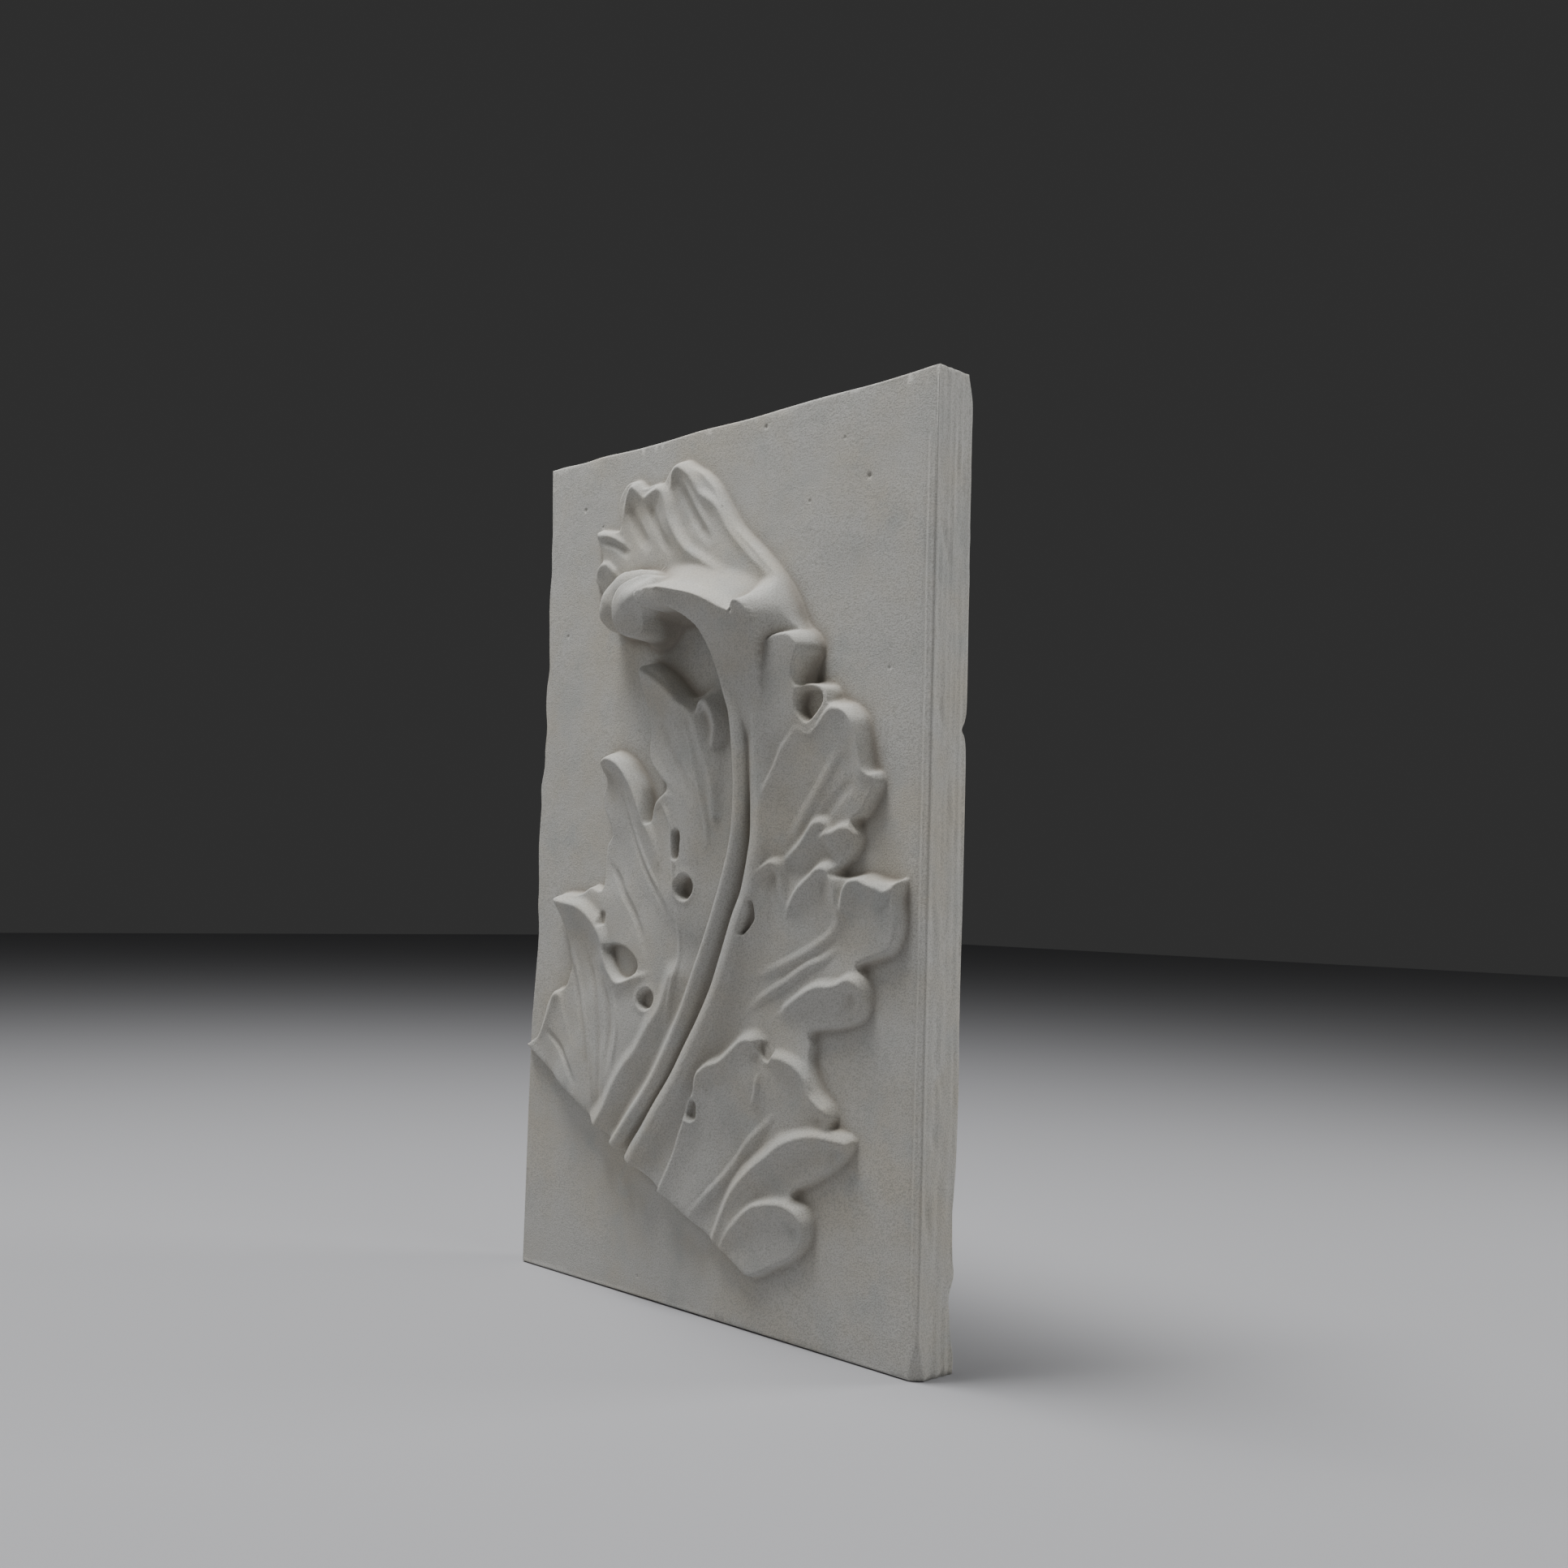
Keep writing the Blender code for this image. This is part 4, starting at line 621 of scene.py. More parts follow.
    # The rounded beads on the stem's first two rims: how far aside of the rim and half width;
    # then the fall to their sides, by how much more each of the last rows sinks, how many rows
    # these are, and how far the crest stands over the rim
    beads: tuple[Point, ...] = ((1.5, 5.2), (-2.5, 6.8))
    bead_fall: float = 3.0
    bead_sinks: float = 0.8
    bead_end: int = 6
    bead_rise: float = 0.4
    right_shelves: tuple = (
        # beside the curl
        ((66, 128, 19, 0.31, 1.0), (68, 137, 20, 0.31, 2.2), (76, 143, 20, 0.31, 2.2),
         (81, 146, 19.5, 0.31, 2.0), (91, 146, 18.5, 0.31, 1.8), (97, 143, 17.5, 0.31, 2.0),
         (99.5, 137, 16.5, 0.26, 3.0), (100, 131, 15, 0.21, 3.6), (99, 122, 13.5, 0.16, 3.6),
         (97, 111, 12.5, 0.13, 3.6)),
        # second lobe, its lobelet and the tongue under them
        ((67, 8, 16, 0.31, 0.8), (67, 20, 16.5, 0.31, 0.9), (66, 34, 16.5, 0.31, 1.2),
         (69, 45, 16.5, 0.31, 1.6), (73, 53, 16, 0.31, 2.0), (78, 62, 15.5, 0.31, 2.0),
         (83, 71, 15.5, 0.31, 2.0), (90, 78, 15, 0.31, 2.0), (96, 84, 14.5, 0.31, 2.0),
         (106, 80, 14, 0.36, 2.0), (115, 86, 14.5, 0.36, 2.0), (123, 94, 15, 0.36, 1.8),
         (132, 95, 15, 0.36, 1.3), (139, 92, 14.5, 0.36, 1.2), (145, 82, 13.5, 0.31, 1.5),
         (148, 72, 12.5, 0.26, 2.4), (149, 62, 11.5, 0.21, 2.4), (150, 56, 11, 0.21, 2.0),
         (156, 55, 10.5, 0.26, 2.0), (162, 51, 9.5, 0.26, 2.6), (162, 45, 8, 0.26, 2.6)),
        ((76, -4, 8, 0.26, 0.6), (86, 2, 10, 0.26, 0.8), (97, 9, 12, 0.31, 1.1),
         (104, 16, 13, 0.36, 1.4), (109, 23, 13, 0.36, 1.6), (116, 25, 12, 0.36, 1.6),
         (121, 21, 10, 0.31, 1.4)),
        ((112, 14, 9, 0.36, 1.4), (118, 17, 11.5, 0.36, 1.6), (125, 18, 12, 0.36, 1.6),
         (133, 21, 11.5, 0.36, 1.6), (140, 20, 10, 0.36, 1.8), (143, 14, 7, 0.36, 2.2)),
        # third lobe in three waves and the fold under it
        ((48, -52, 17, 0.31, 1.0), (56, -36, 17.5, 0.31, 1.2), (61, -23, 17.5, 0.31, 1.4),
         (63, -14, 17.5, 0.34, 1.6), (65, -9, 17.5, 0.36, 1.6), (70, -4, 17, 0.36, 1.6),
         (76, -1, 16, 0.36, 1.8), (81, -2, 15, 0.36, 1.8), (83, -9, 13, 0.31, 1.6),
         (84, -18, 11.5, 0.26, 1.2), (87, -32, 9, 0.21, 0.8)),
        ((86, -36, 9, 0.26, 0.8), (90, -27, 11, 0.31, 1.2), (97, -18, 12.5, 0.31, 1.4),
         (108, -10, 13.5, 0.36, 1.6), (115, -5, 14, 0.36, 1.8), (121, -4, 13.5, 0.36, 1.8),
         (125, -7, 13, 0.31, 2.0), (128, -14, 12, 0.26, 2.0), (130, -24, 11, 0.21, 1.8),
         (132, -36, 9, 0.16, 1.2)),
        ((132, -34, 8, 0.26, 1.2), (134, -26, 11, 0.31, 1.8), (137, -18, 13, 0.31, 2.0),
         (142, -12, 14, 0.31, 2.2), (150, -10, 14, 0.31, 2.4), (157, -13, 13.5, 0.31, 2.4),
         (165, -15, 13, 0.31, 2.4), (171, -17, 12.5, 0.31, 2.4), (178, -13, 9, 0.31, 3.0),
         (176, -24, 10, 0.31, 3.0), (177, -33, 9, 0.31, 3.0), (173, -46, 7, 0.31, 3.0)),
        ((86, -92, 9, 0.26, 0.8), (104, -82, 11.5, 0.31, 1.2), (116, -77, 12.5, 0.36, 1.6),
         (127, -76, 12.5, 0.36, 1.8), (134, -74, 12, 0.36, 1.8), (141, -71, 12, 0.36, 1.8),
         (148, -73, 11, 0.36, 2.0), (151, -80, 9, 0.31, 2.4), (148, -90, 7, 0.31, 2.4)),
        # fourth lobe
        ((9, -148, 14.5, 0.26, 1.6), (13, -140, 16, 0.31, 1.8), (22, -134, 16.5, 0.34, 1.3),
         (34, -130, 16.5, 0.36, 1.2), (46, -121, 16, 0.36, 1.2), (54, -115, 15.5, 0.36, 1.2),
         (62, -114, 15, 0.36, 1.2), (68, -117, 12, 0.36, 1.2), (74, -124, 11, 0.36, 1.2),
         (80, -123, 12.5, 0.36, 1.4), (91, -124, 12.5, 0.36, 1.6), (101, -128, 12, 0.36, 1.8),
         (108, -135, 11, 0.36, 2.0), (111, -143, 10, 0.31, 2.0), (118, -149, 10, 0.31, 1.6),
         (125, -153, 9, 0.31, 2.0), (123, -161, 7, 0.26, 2.0)),
        # fifth lobe
        ((24, -246, 8, 0.42, 0.7), (36, -224, 10, 0.47, 0.8), (47, -209, 11.5, 0.52, 0.8),
         (63, -195, 12.5, 0.57, 0.8), (77, -185, 12.5, 0.57, 0.8), (88, -177, 12.5, 0.57, 0.9),
         (102, -171, 12, 0.57, 1.3), (115, -168, 11, 0.52, 1.6), (129, -168, 10, 0.42, 1.8),
         (141, -170, 8, 0.31, 2.4), (136, -178, 6, 0.31, 2.4)),
        # lowest lobe
        ((30, -250, 7, 0.26, 0.8), (45, -233, 10, 0.31, 1.0), (59, -221, 11.5, 0.31, 1.4),
         (70, -216, 12, 0.31, 1.6), (85, -213, 12, 0.31, 1.8), (96, -214, 11.5, 0.31, 1.8),
         (104, -219, 10, 0.31, 2.0), (107, -228, 8, 0.31, 2.0), (103, -238, 6, 0.31, 2.4)))
    crest: tuple = (
        (-38, 177.5, 42, 14.0, 2.8), (-30, 180.5, 45.5, 14.0, 2.8), (-12, 180, 47, 14.0, 2.8),
        (7, 176, 47, 14.0, 2.8), (23, 172, 46.5, 14.0, 2.8), (37, 167, 45, 14.0, 2.8),
        (47, 162, 43, 14.0, 2.8), (53, 159, 42, 14.0, 2.8), (57, 157.5, 41, 14.0, 2.8),
        (60, 163, 42, 14.0, 2.8), (64, 163, 41, 14.0, 2.6), (67, 160, 39, 14.0, 2.3),
        (69.5, 156, 36, 14.0, 2.0), (71, 151, 32, 14.0, 1.7), (70.5, 145, 28, 14.0, 1.4),
        (68.5, 137, 24, 14.0, 1.0), (67, 128, 21.5, 14.0, 0.6), (65.5, 118, 20, 14.0, 0.4),
        (65, 106, 18.5, 14.0, 0.3))
    crest_base: float = 4.0
    crest_blend: float = 1.6
    curl_face: Outline = (
        (46, 40), (47, 70), (42, 97), (37, 108), (30, 127), (24, 141), (19, 152), (12, 159),
        (3, 164.5), (-8, 169), (-20, 170.5), (-30, 171), (-31, 180), (-12, 181), (7, 177),
        (23, 173), (37, 168), (47, 163), (55, 159.5), (58, 158.5), (60, 165), (64.5, 165), (68.5, 162),
        (71.5, 157.5), (73, 151), (73, 145), (71, 137), (69.5, 124), (68.5, 108), (68, 94), (66, 60),
        (64, 40))
    left_outline: Outline = (
        (-64, 138), (-52, 138), (-36, 130), (-22, 119), (-12, 112), (-2, 116), (10, 124),
        (22, 126), (36, 118), (48, 90), (60, 0), (30, -100), (-30, -200), (-60, -240),
        (-120, -215), (-196, -150), (-180, -131), (-172, -117), (-166, -104), (-158, -95),
        (-148, -93), (-142, -86), (-140, -72), (-145, -56), (-153, -42), (-161, -28),
        (-150, -24), (-134, -24), (-126, -22), (-117, -18), (-106, -20), (-104, -10),
        (-104, 2), (-102, 12), (-97, 18), (-100, 26), (-106, 36), (-108, 47), (-104, 56),
        (-108, 63), (-110, 72), (-98, 78), (-82, 73), (-70, 63), (-61, 53), (-57, 44),
        (-53, 32), (-51, 28), (-48, 36), (-42, 44), (-34, 49), (-37, 52), (-46, 60),
        (-53, 68), (-55, 78),
        (-54, 88), (-56, 100), (-60, 112), (-64, 126))
    right_outline: Outline = (
        (60, 150), (70, 146), (80, 149), (92, 149), (100, 145), (105, 138), (105, 131),
        (101, 124), (99, 114), (108, 113), (118, 109), (124, 101), (136, 97), (145, 89),
        (149, 77), (151, 66), (153, 57), (158, 54), (160, 47), (154, 37), (147, 28), (140, 24),
        (144, 16), (140, 6), (132, -2), (128, -7), (134, -9), (150, -7), (164, -10), (173, -11),
        (180, -10), (179, -22), (180, -36), (177, -47), (170, -55), (155, -60), (146, -64),
        (151, -70), (154, -78), (153, -88), (147, -96), (130, -102), (108, -106), (108, -115),
        (108, -124), (112, -134), (117, -142), (125, -149), (128, -156), (126, -162),
        (140, -165), (144, -170), (138, -179), (125, -189), (110, -198), (96, -205), (96, -210),
        (105, -213), (110, -221), (108, -233), (97, -245), (81, -254), (49, -266), (0, -250),
        (-40, -235), (-94, -225), (-84, -206), (-58, -176), (-36, -150), (-18, -125), (-3, -99),
        (20, -51), (39, -5), (45, 18), (47, 47), (45, 77), (40, 112), (44, 130))
    stem_outline: Outline = (
        (-112, -214), (-90, -186), (-68, -164), (-48, -140), (-31, -114), (-17, -90), (-5, -66),
        (6, -44), (16, -22), (25, 0), (31, 20), (34, 47), (32, 76), (28, 94), (23, 104),
        (24, 116), (18, 130), (12, 146), (40, 160), (76, 130), (90, 100), (100, 60), (102, 20),
        (102, -14), (94, -44), (82, -84), (68, -120), (58, -142), (46, -180), (30, -215),
        (14, -250), (-60, -260), (-110, -235))
    fan_outline: Outline = (
        (-131, 239), (-126, 243), (-103, 240), (-105, 253), (-103, 264), (-94, 273), (-83, 273),
        (-74, 267), (-64, 268), (-54, 267), (-49, 272), (-42, 278), (-31, 279), (-20, 273),
        (-8, 266), (2, 257), (10, 247), (18, 236), (29, 223), (50, 205), (64, 192), (74, 181),
        (83, 168), (90, 154), (96, 144), (92, 130), (76, 116),
        (44, 104), (16, 112), (-14, 124), (-45, 130), (-80, 134), (-108, 148), (-118, 172),
        (-124, 196), (-131, 205), (-128, 214), (-122, 220), (-127, 231))
    # Floor, then the outline of a hollow cut down to it
    pits: tuple = (
        (4.0, ((-92, -62), (-79, -61), (-67, -66), (-61, -73), (-65, -79), (-77, -82),
               (-86, -76))),
        (7.0, ((98, 100), (99, 94), (104, 89), (110, 92), (116, 99), (114, 105), (106, 107),
               (100, 106))),
        (10.5, ((61, -27), (62, -36), (58, -42), (53, -46), (56, -38), (60, -30))),
        (7.5, ((66, -116), (73, -115), (78, -120), (74, -126), (69, -124))),
        (7.0, ((-20, 18), (-16, 17), (-17, 4), (-20, 3))),
        (7.0, ((-103, -38), (-99, -38), (-99, -45), (-102, -45))))
    # Floor, rim raised round it, then the run of the drill with its radius
    holes: tuple = (
        (4.0, 0.8, ((-10, -19, 5.4), (-9, -18, 5.4))),
        (4.5, 0.8, ((-50, -96, 5.4), (-48, -95, 5.4))),
        (8.0, 0.8, ((5, -167, 3.6), (6, -162, 3.0))))
    # Height of a rib, or depth of a furrow below nothing, half width, and the run
    ribs: tuple = (
        # fan
        (-2.0, 7, ((-92, 261), (-86, 246), (-76, 232), (-62, 218))),
        (-1.4, 6, ((-68, 254), (-62, 242), (-50, 226), (-36, 212))),
        (-1.8, 6, ((-35, 266), (-24, 248), (-10, 230), (6, 214))),
        (-1.4, 5, ((-122, 234), (-104, 228), (-86, 217))),
        # low leaf
        (-1.2, 4.5, ((-147, -60), (-130, -92), (-116, -130), (-108, -172))),
        (1.2, 3.5, ((-138, -62), (-122, -96), (-110, -136), (-104, -178))),
        (-1.4, 4, ((-122, -60), (-106, -96), (-98, -140), (-98, -176))),
        (-1.4, 4, ((-98, -84), (-88, -112), (-88, -150))),
        (1.0, 3, ((-84, -92), (-78, -118), (-82, -146))),
        (-1.2, 4, ((-168, -124), (-146, -138), (-124, -164))),
        # middle leaf
        (-1.3, 4.5, ((-99, -1), (-86, -13), (-79, -23), (-66, -37), (-57, -51), (-51, -67))),
        (1.2, 3.5, ((-80, 56), (-74, 34), (-64, 14), (-52, -4), (-40, -18), (-32, -34))),
        (-1.1, 4.5, ((-80, 44), (-71, 24), (-62, 6), (-50, -10), (-38, -23), (-29, -36),
                     (-25, -55))),
        (1.4, 3, ((-37, 41), (-29, 32), (-24, 22), (-22, 8), (-20, -9), (-19, -28))),
        (1.0, 3, ((-18, -33), (-16, -52), (-17, -72), (-22, -92), (-27, -109))),
        # top leaf
        (1.3, 3.5, ((-22, 104), (-7, 79), (-2, 62), (5, 43), (10, 24), (11, 4))),
        (-1.2, 5, ((-40, 96), (-28, 76), (-12, 56), (-2, 36))),
        # second lobe
        (1.0, 6, ((132, 72), (117, 50), (100, 30), (86, 10))),
        (-0.8, 6, ((142, 50), (124, 36), (106, 18))),
        # third lobe
        (1.3, 5, ((131, -36), (124, -45), (111, -53), (97, -60), (81, -67), (58, -76))),
        (1.4, 4.5, ((131, -52), (117, -61), (104, -66), (87, -76), (67, -87), (49, -99))),
        # fourth and fifth lobes
        (1.2, 3, ((66, -134), (64, -146), (60, -158))),
        (1.6, 4.5, ((80, -158), (65, -172), (51, -185), (36, -202), (18, -219), (1, -236))),
        (1.0, 5, ((70, -204), (56, -216), (42, -230), (30, -248))))
    foot_cut: tuple[Point, Point] = ((-186, -141), (49, -260))
    foot_run: float = 3.0
    # Steepness of the walls round the fan, the other parts, the curl's face and the rolls
    fan_wall: float = 3.2
    leaf_wall: float = 3.6
    curl_wall: float = 20.0
    roll_wall: float = 18.0
    curl_fall: float = 0.5
    # Roundness where one part meets another, and how deep a bare part's sheet is put away
    part_blend: float = 1.5
    bare_depth: float = 40.0
    # How far the curl's crest stands off the slab's face
    stands: float = 46.5

    def part(self, x: Grid, z: Grid, sheet: tuple, shelves: tuple, outline: Outline,
             wall: float, bare: bool = False, crest: tuple = ()) -> Relief:
        """Model one part of the leaf by itself: its sheet, its lobes, and its edge.

        Formula: the higher of the sheet and the lobes, softened from each line of the grid to
        the next, then held under the wall that rises inwards from the outline.

        Args:
            x: places across the slab's face.
            z: places up it.
            sheet: heights of the thin body.
            shelves: the lobes' rims.
            outline: where the part meets the ground.
            wall: steepness of the wall round it.
            bare: whether the sheet itself is left out.
            crest: the rim of a curl that rises from the part, where it has one.

        Returns:
            The part's relief.
        """
        clay = Relief(x, z)
        thin = clay.swelling(sheet, self.sheet_reach)
        clay.h = thin - self.bare_depth * bare
        for rim in shelves:
            clay.shelf(rim, thin)
        if crest:
            clay.shelf(crest, 0.0, self.crest_base, self.crest_blend)
        clay.h = blurred(clay.h, 1)
        clay.trim(outline, wall)
        return clay

    def height(self, x: Grid, z: Grid) -> Grid:
        """Model the leaf in the order in which its forms lie over each other.

        Formula: the higher of the four parts, the beads, the curl's face and the rolls, with the
        ribs added and the hollows and holes cut, then scaled so that the crest stands as far
        off the slab as it should.

        Args:
            x: places across the slab's face.
            z: places up it.

        Returns:
            The height over the face at each place.
        """
        clay = Relief(x, z)
        for other in (
                self.part(x, z, self.fan_sheet, self.fan_shelves, self.fan_outline,
                          self.fan_wall, crest=self.crest),
                self.part(x, z, self.left_sheet, self.left_shelves, self.left_outline,
                          self.leaf_wall),
                self.part(x, z, self.right_sheet, self.right_shelves, self.right_outline,
                          self.leaf_wall),
                self.part(x, z, self.right_sheet, self.stem_shelves, self.stem_outline,
                          self.leaf_wall, bare=True)):
            clay.h = over(clay.h, other.h, self.part_blend)
        for rim, (aside, half_width) in zip(self.stem_shelves, self.beads):
            last = [self.bead_sinks * (step - 0.5) for step in range(self.bead_end)]
            sunk = [0.0] * (len(rim) - self.bead_end) + last
            crest = [(px + aside, pz, top + self.bead_rise - low)
                     for (px, pz, top, *_), low in zip(rim, sunk)]
            clay.bead(crest, half_width, self.bead_fall)
        body = clay.swelling(self.curl_body, self.curl_reach)
        clay.leaflet(body, self.curl_fall, self.curl_face, self.curl_wall)
        for fall, places, outline in self.rolls:
            body = clay.swelling(places, self.roll_reach)
            clay.leaflet(body, fall, outline, self.roll_wall)
        for height, half_width, points in self.ribs:
            clay.rib(height, half_width, points)
        for floor, outline in self.pits:
            clay.pit(floor, outline)
        for floor, rim, run in self.holes:
            clay.hole(floor, rim, run)
        clay.cut_straight(*self.foot_cut, self.foot_run)
        return clay.h * (self.stands / clay.h.max())


@dataclass(frozen=True)
class CastPlaster:
    """Cast gypsum plaster, unpainted and handled for years.

    Gypsum poured on a greased mould and left bare: the eye sees a dry, matt, pale stone colour
    with no gloss, a grain like fine sand, cloudy warm and grey patches where it has been touched,
    and a darker brown-grey in the hollows that is partly dust and partly painted shade.
    """

    name: str = "cast_gypsum_plaster_bare_matt"
    clean: str = "BDBCB7"
    warm: str = "BBB6AA"
    cool: str = "B2B3AF"
    speck: str = "8F8D86"
    # Brown-grey laid in the hollows: partly dust, partly painted shade of the recesses
    dust_and_shade: str = "8A8276"
    roughness: float = 0.88
    ior: float = 1.52
    # Millimetres across: the sand grain, the skin of the cast, warm clouds and cool clouds. The
    # real grain is a quarter of this, too fine to show, so it is drawn as coarse as shows.
    grain: float = 0.9
    skin: float = 4.0
    warm_cloud: float = 60.0
    cool_cloud: float = 36.0
    # Where in its noise each colour starts and is full, and the most it then takes
    warm_share: tuple = (0.42, 0.66, 1.0)
    cool_share: tuple = (0.52, 0.72, 1.0)
    speck_share: tuple = (0.44, 0.64, 0.55)
    dust_and_shade_share: tuple = (0.0, 1.0, 0.7)
    # Share and height in millimetres of the roughness that the skin and the grain give
    skin_bump: Point = (0.3, 0.5)
    grain_bump: Point = (0.9, 0.3)

    def node(self, tree: bpy.types.NodeTree, kind: str, settings: dict | None = None,
             links: dict | None = None) -> bpy.types.Node:
        """Add a node.

        Args:
            tree: the material's node tree.
            kind: Blender's name for the node's type.
            settings: properties and input values, an input by its name or number.
            links: outputs that feed the node's inputs, by input.

        Returns:
            The new node.
        """
        made = tree.nodes.new(kind)
        for key, value in (settings or {}).items():
            if isinstance(key, str) and hasattr(made, key):
                setattr(made, key, value)
            else:
                made.inputs[key].default_value = value
        for key, source in (links or {}).items():
            tree.links.new(source, made.inputs[key])
        return made

    def build(self) -> bpy.types.Material:
        """Make the material.

        Returns:
            The material, which reads Object coordinates and the piece's own hollow attribute.
        """
        material = bpy.data.materials.new(self.name)
        material.use_nodes = True
        tree = material.node_tree
        shader = tree.nodes["Principled BSDF"]
        shader.inputs["Roughness"].default_value = self.roughness
        shader.inputs["IOR"].default_value = self.ior
        place = tree.nodes.new("ShaderNodeTexCoord").outputs["Object"]

        def cloudy(size: float, detail: float) -> bpy.types.NodeSocket:
            """Noise on the piece.

            Args:
                size: how many millimetres its features are across.
                detail: how many finer layers it has.

            Returns:
                The noise, from nothing to one.
            """
            made = self.node(tree, "ShaderNodeTexNoise",
                             {"Scale": 1 / METRE / size, "Detail": detail, "Roughness": 0.6},
                             {"Vector": place})
            return made.outputs["Fac"]

        def coat(under_coat: bpy.types.NodeSocket, factor: bpy.types.NodeSocket,
                 share: tuple, colour: str) -> bpy.types.NodeSocket:
            """Lay a colour over what is there.

            Formula: the factor is stretched so that the share's start is nothing and its end is
            the share's most, and mixes the colour in by that much.

            Args:
                under_coat: the colour that is there.
                factor: where the new colour lies.
                share: start, end and most.
                colour: the new colour as six hex digits.

            Returns:
                The colour after it.
            """
            start, end, most = share
            stretched = self.node(tree, "ShaderNodeMapRange",
                                  {"From Min": start, "From Max": end, "To Max": most},
                                  {"Value": factor})
            # The colour mix has its two colours in inputs 6 and 7 and gives output 2
            made = self.node(tree, "ShaderNodeMix", {"data_type": "RGBA", 7: linear(colour)},
                             {"Factor": stretched.outputs["Result"], 6: under_coat})
            return made.outputs[2]

        clean = self.node(tree, "ShaderNodeRGB")
        clean.outputs["Color"].default_value = linear(self.clean)
        hollow = self.node(tree, "ShaderNodeAttribute", {"attribute_name": "hollow"})
        colour = clean.outputs["Color"]
        # The last coat darkens the hollows by the hollow attribute: partly dust, partly painted shade
        for factor, share, tint in (
                (cloudy(self.warm_cloud, 4), self.warm_share, self.warm),
                (cloudy(self.cool_cloud, 3), self.cool_share, self.cool),
                (cloudy(self.grain, 1), self.speck_share, self.speck),
                (hollow.outputs["Fac"], self.dust_and_shade_share, self.dust_and_shade)):
            colour = coat(colour, factor, share, tint)
        tree.links.new(colour, shader.inputs["Base Color"])
        for height, (strength, depth) in ((cloudy(self.skin, 3), self.skin_bump),
                                          (cloudy(self.grain, 2), self.grain_bump)):
            bump = self.node(tree, "ShaderNodeBump",
                             {"Strength": strength, "Distance": depth * METRE},
                             {"Height": height})
            normal = shader.inputs["Normal"]
            if normal.is_linked:
                tree.links.new(normal.links[0].from_socket, bump.inputs["Normal"])
            tree.links.new(bump.outputs["Normal"], normal)
        return material


@dataclass
class Slab:
    """The cast's rectangular ground: its edges wander, its arrises are worn, a corner is knocked.

    A wander is a row of (place along the edge, how far the edge lies in from the straight).
    """

    width: float = 390.0
    height: float = 600.0
    thickness: float = 34.6
    arris: float = 1.8
    back_arris: float = 1.5
    arris_steps: int = 4
    # The break at the lower right corner of the front: how far in, and the way it faces
    corner_loss: float = 5.6
    corner_way: tuple = (1.0, -1.0, -0.27)
    # Spacing of the face's grid and of the rings of points down the sides
    step: float = 0.8
    ring_step: float = 1.6
    wander: dict = field(default_factory=lambda: {
        Edge.LEFT: ((-300, 0.3), (-140, 0.2), (-110, 1.3), (-95, 2.4), (-80, 3.5), (-65, 4.6),
                    (-50, 4.7), (-35, 2.7), (-20, 2.8), (10, 0.8), (40, 2.0), (55, 1.0),
                    (70, 4.2), (85, 4.3), (100, 5.4), (115, 3.4), (130, 3.5), (145, 5.7),
                    (160, 4.7), (175, 3.8), (190, 2.8), (205, 2.9), (220, 4.0), (235, 3.1),
                    (250, 3.2), (265, 2.2), (280, 1.3), (300, 0.3)),
        Edge.RIGHT: ((-300, 0.4), (-200, 0.2), (-60, 0.3), (80, 0.2), (200, 0.3), (300, 0.4)),
        Edge.TOP: ((-195, 0.2), (-178, 0.0), (-154, 0.8), (-130, 0.2), (-94, 1.5), (-58, 1.6),
                   (-20, 0.9), (26, 2.0), (62, 1.5), (98, 1.2), (140, 1.8), (170, 1.3),
                   (190, 0.5)),
        Edge.FOOT: ((-195, 0.3), (0, 0.6), (195, 0.3)),
        Edge.BACK: ((-300, 1.5), (-291, 0.5), (-279, 3.1), (-267, 4.4), (-255, 5.5), (-243, 1.4),
                    (-231, 3.2), (-207, 4.1), (-183, 1.7), (-159, 0.9), (-129, 0.4), (-99, 0.9),
                    (-63, 0.8), (-30, 0.3), (9, 0.1), (45, 0.1), (66, 0.3), (76, 1.6),
                    (81, 4.4), (87, 1.6), (97, 0.2), (130, 0.1), (165, 0.3), (220, 0.4),
                    (262, 0.3), (273, 0.1), (285, 0.6), (297, 3.6), (300, 5.0))})
    # Place, radius and depth of air bubbles in the face
    bubbles: tuple = (
        (45, 289, 1.3, 1.0), (140, 240, 1.5, 1.1), (88, 232, 1.0, 0.8), (-150, 262, 1.3, 1.0),
        (118, 268, 0.9, 0.7), (-128, 246, 0.9, 0.7), (160, 118, 1.0, 0.7), (-166, 168, 1.1, 0.8),
        (150, -118, 0.9, 0.6), (-60, -286, 1.0, 0.7), (60, -272, 0.9, 0.7), (20, -150, 0.9, 0.9))
    # Place, length, width and depth of dents in the right side: back from the face, and up
    dents: tuple = (
        (9, 196, 9, 2.2, 1.0), (14, 184, 6, 1.8, 0.9), (8, 92, 8, 2.0, 0.8), (12, 84, 5, 2.4, 0.8),
        (7, -34, 10, 1.8, 0.8), (16, -128, 8, 2.2, 0.9), (10, -160, 7, 2.6, 1.0),
        (6, -206, 12, 2.0, 0.8), (20, 240, 8, 1.8, 0.7), (18, 30, 12, 1.6, 0.6))
    # How far from its edge the face still follows a wander, and the side that of the back edge
    follows: float = 14.0
    side_follows: float = 9.0
    # How far in from the right the wander of the back edge starts, and its way to full depth
    chip_start: float = 10.0
    chip_run: float = 8.0
    # Rolling of the ground: height, then the spacing of its two sizes
    rolling: float = 0.22
    roll_spacing: Point = (34.0, 9.0)
    # The fin by the right arris: height, place in from the edge, half width; then how far the
    # scratch lies beside it and its half width, and how far up and down the two go
    fin: float = 0.5
    fin_place: float = 5.2
    fin_width: float = 0.9
    scratch_aside: float = 2.2
    scratch_width: float = 1.1
    fin_end: float = 270.0
    fin_fade: float = 30.0
    # Scraper marks of the side: height, and the spacing of the long and of the short ones
    scraped: float = 0.5
    mark_spacing: Point = (1.9, 2.6)
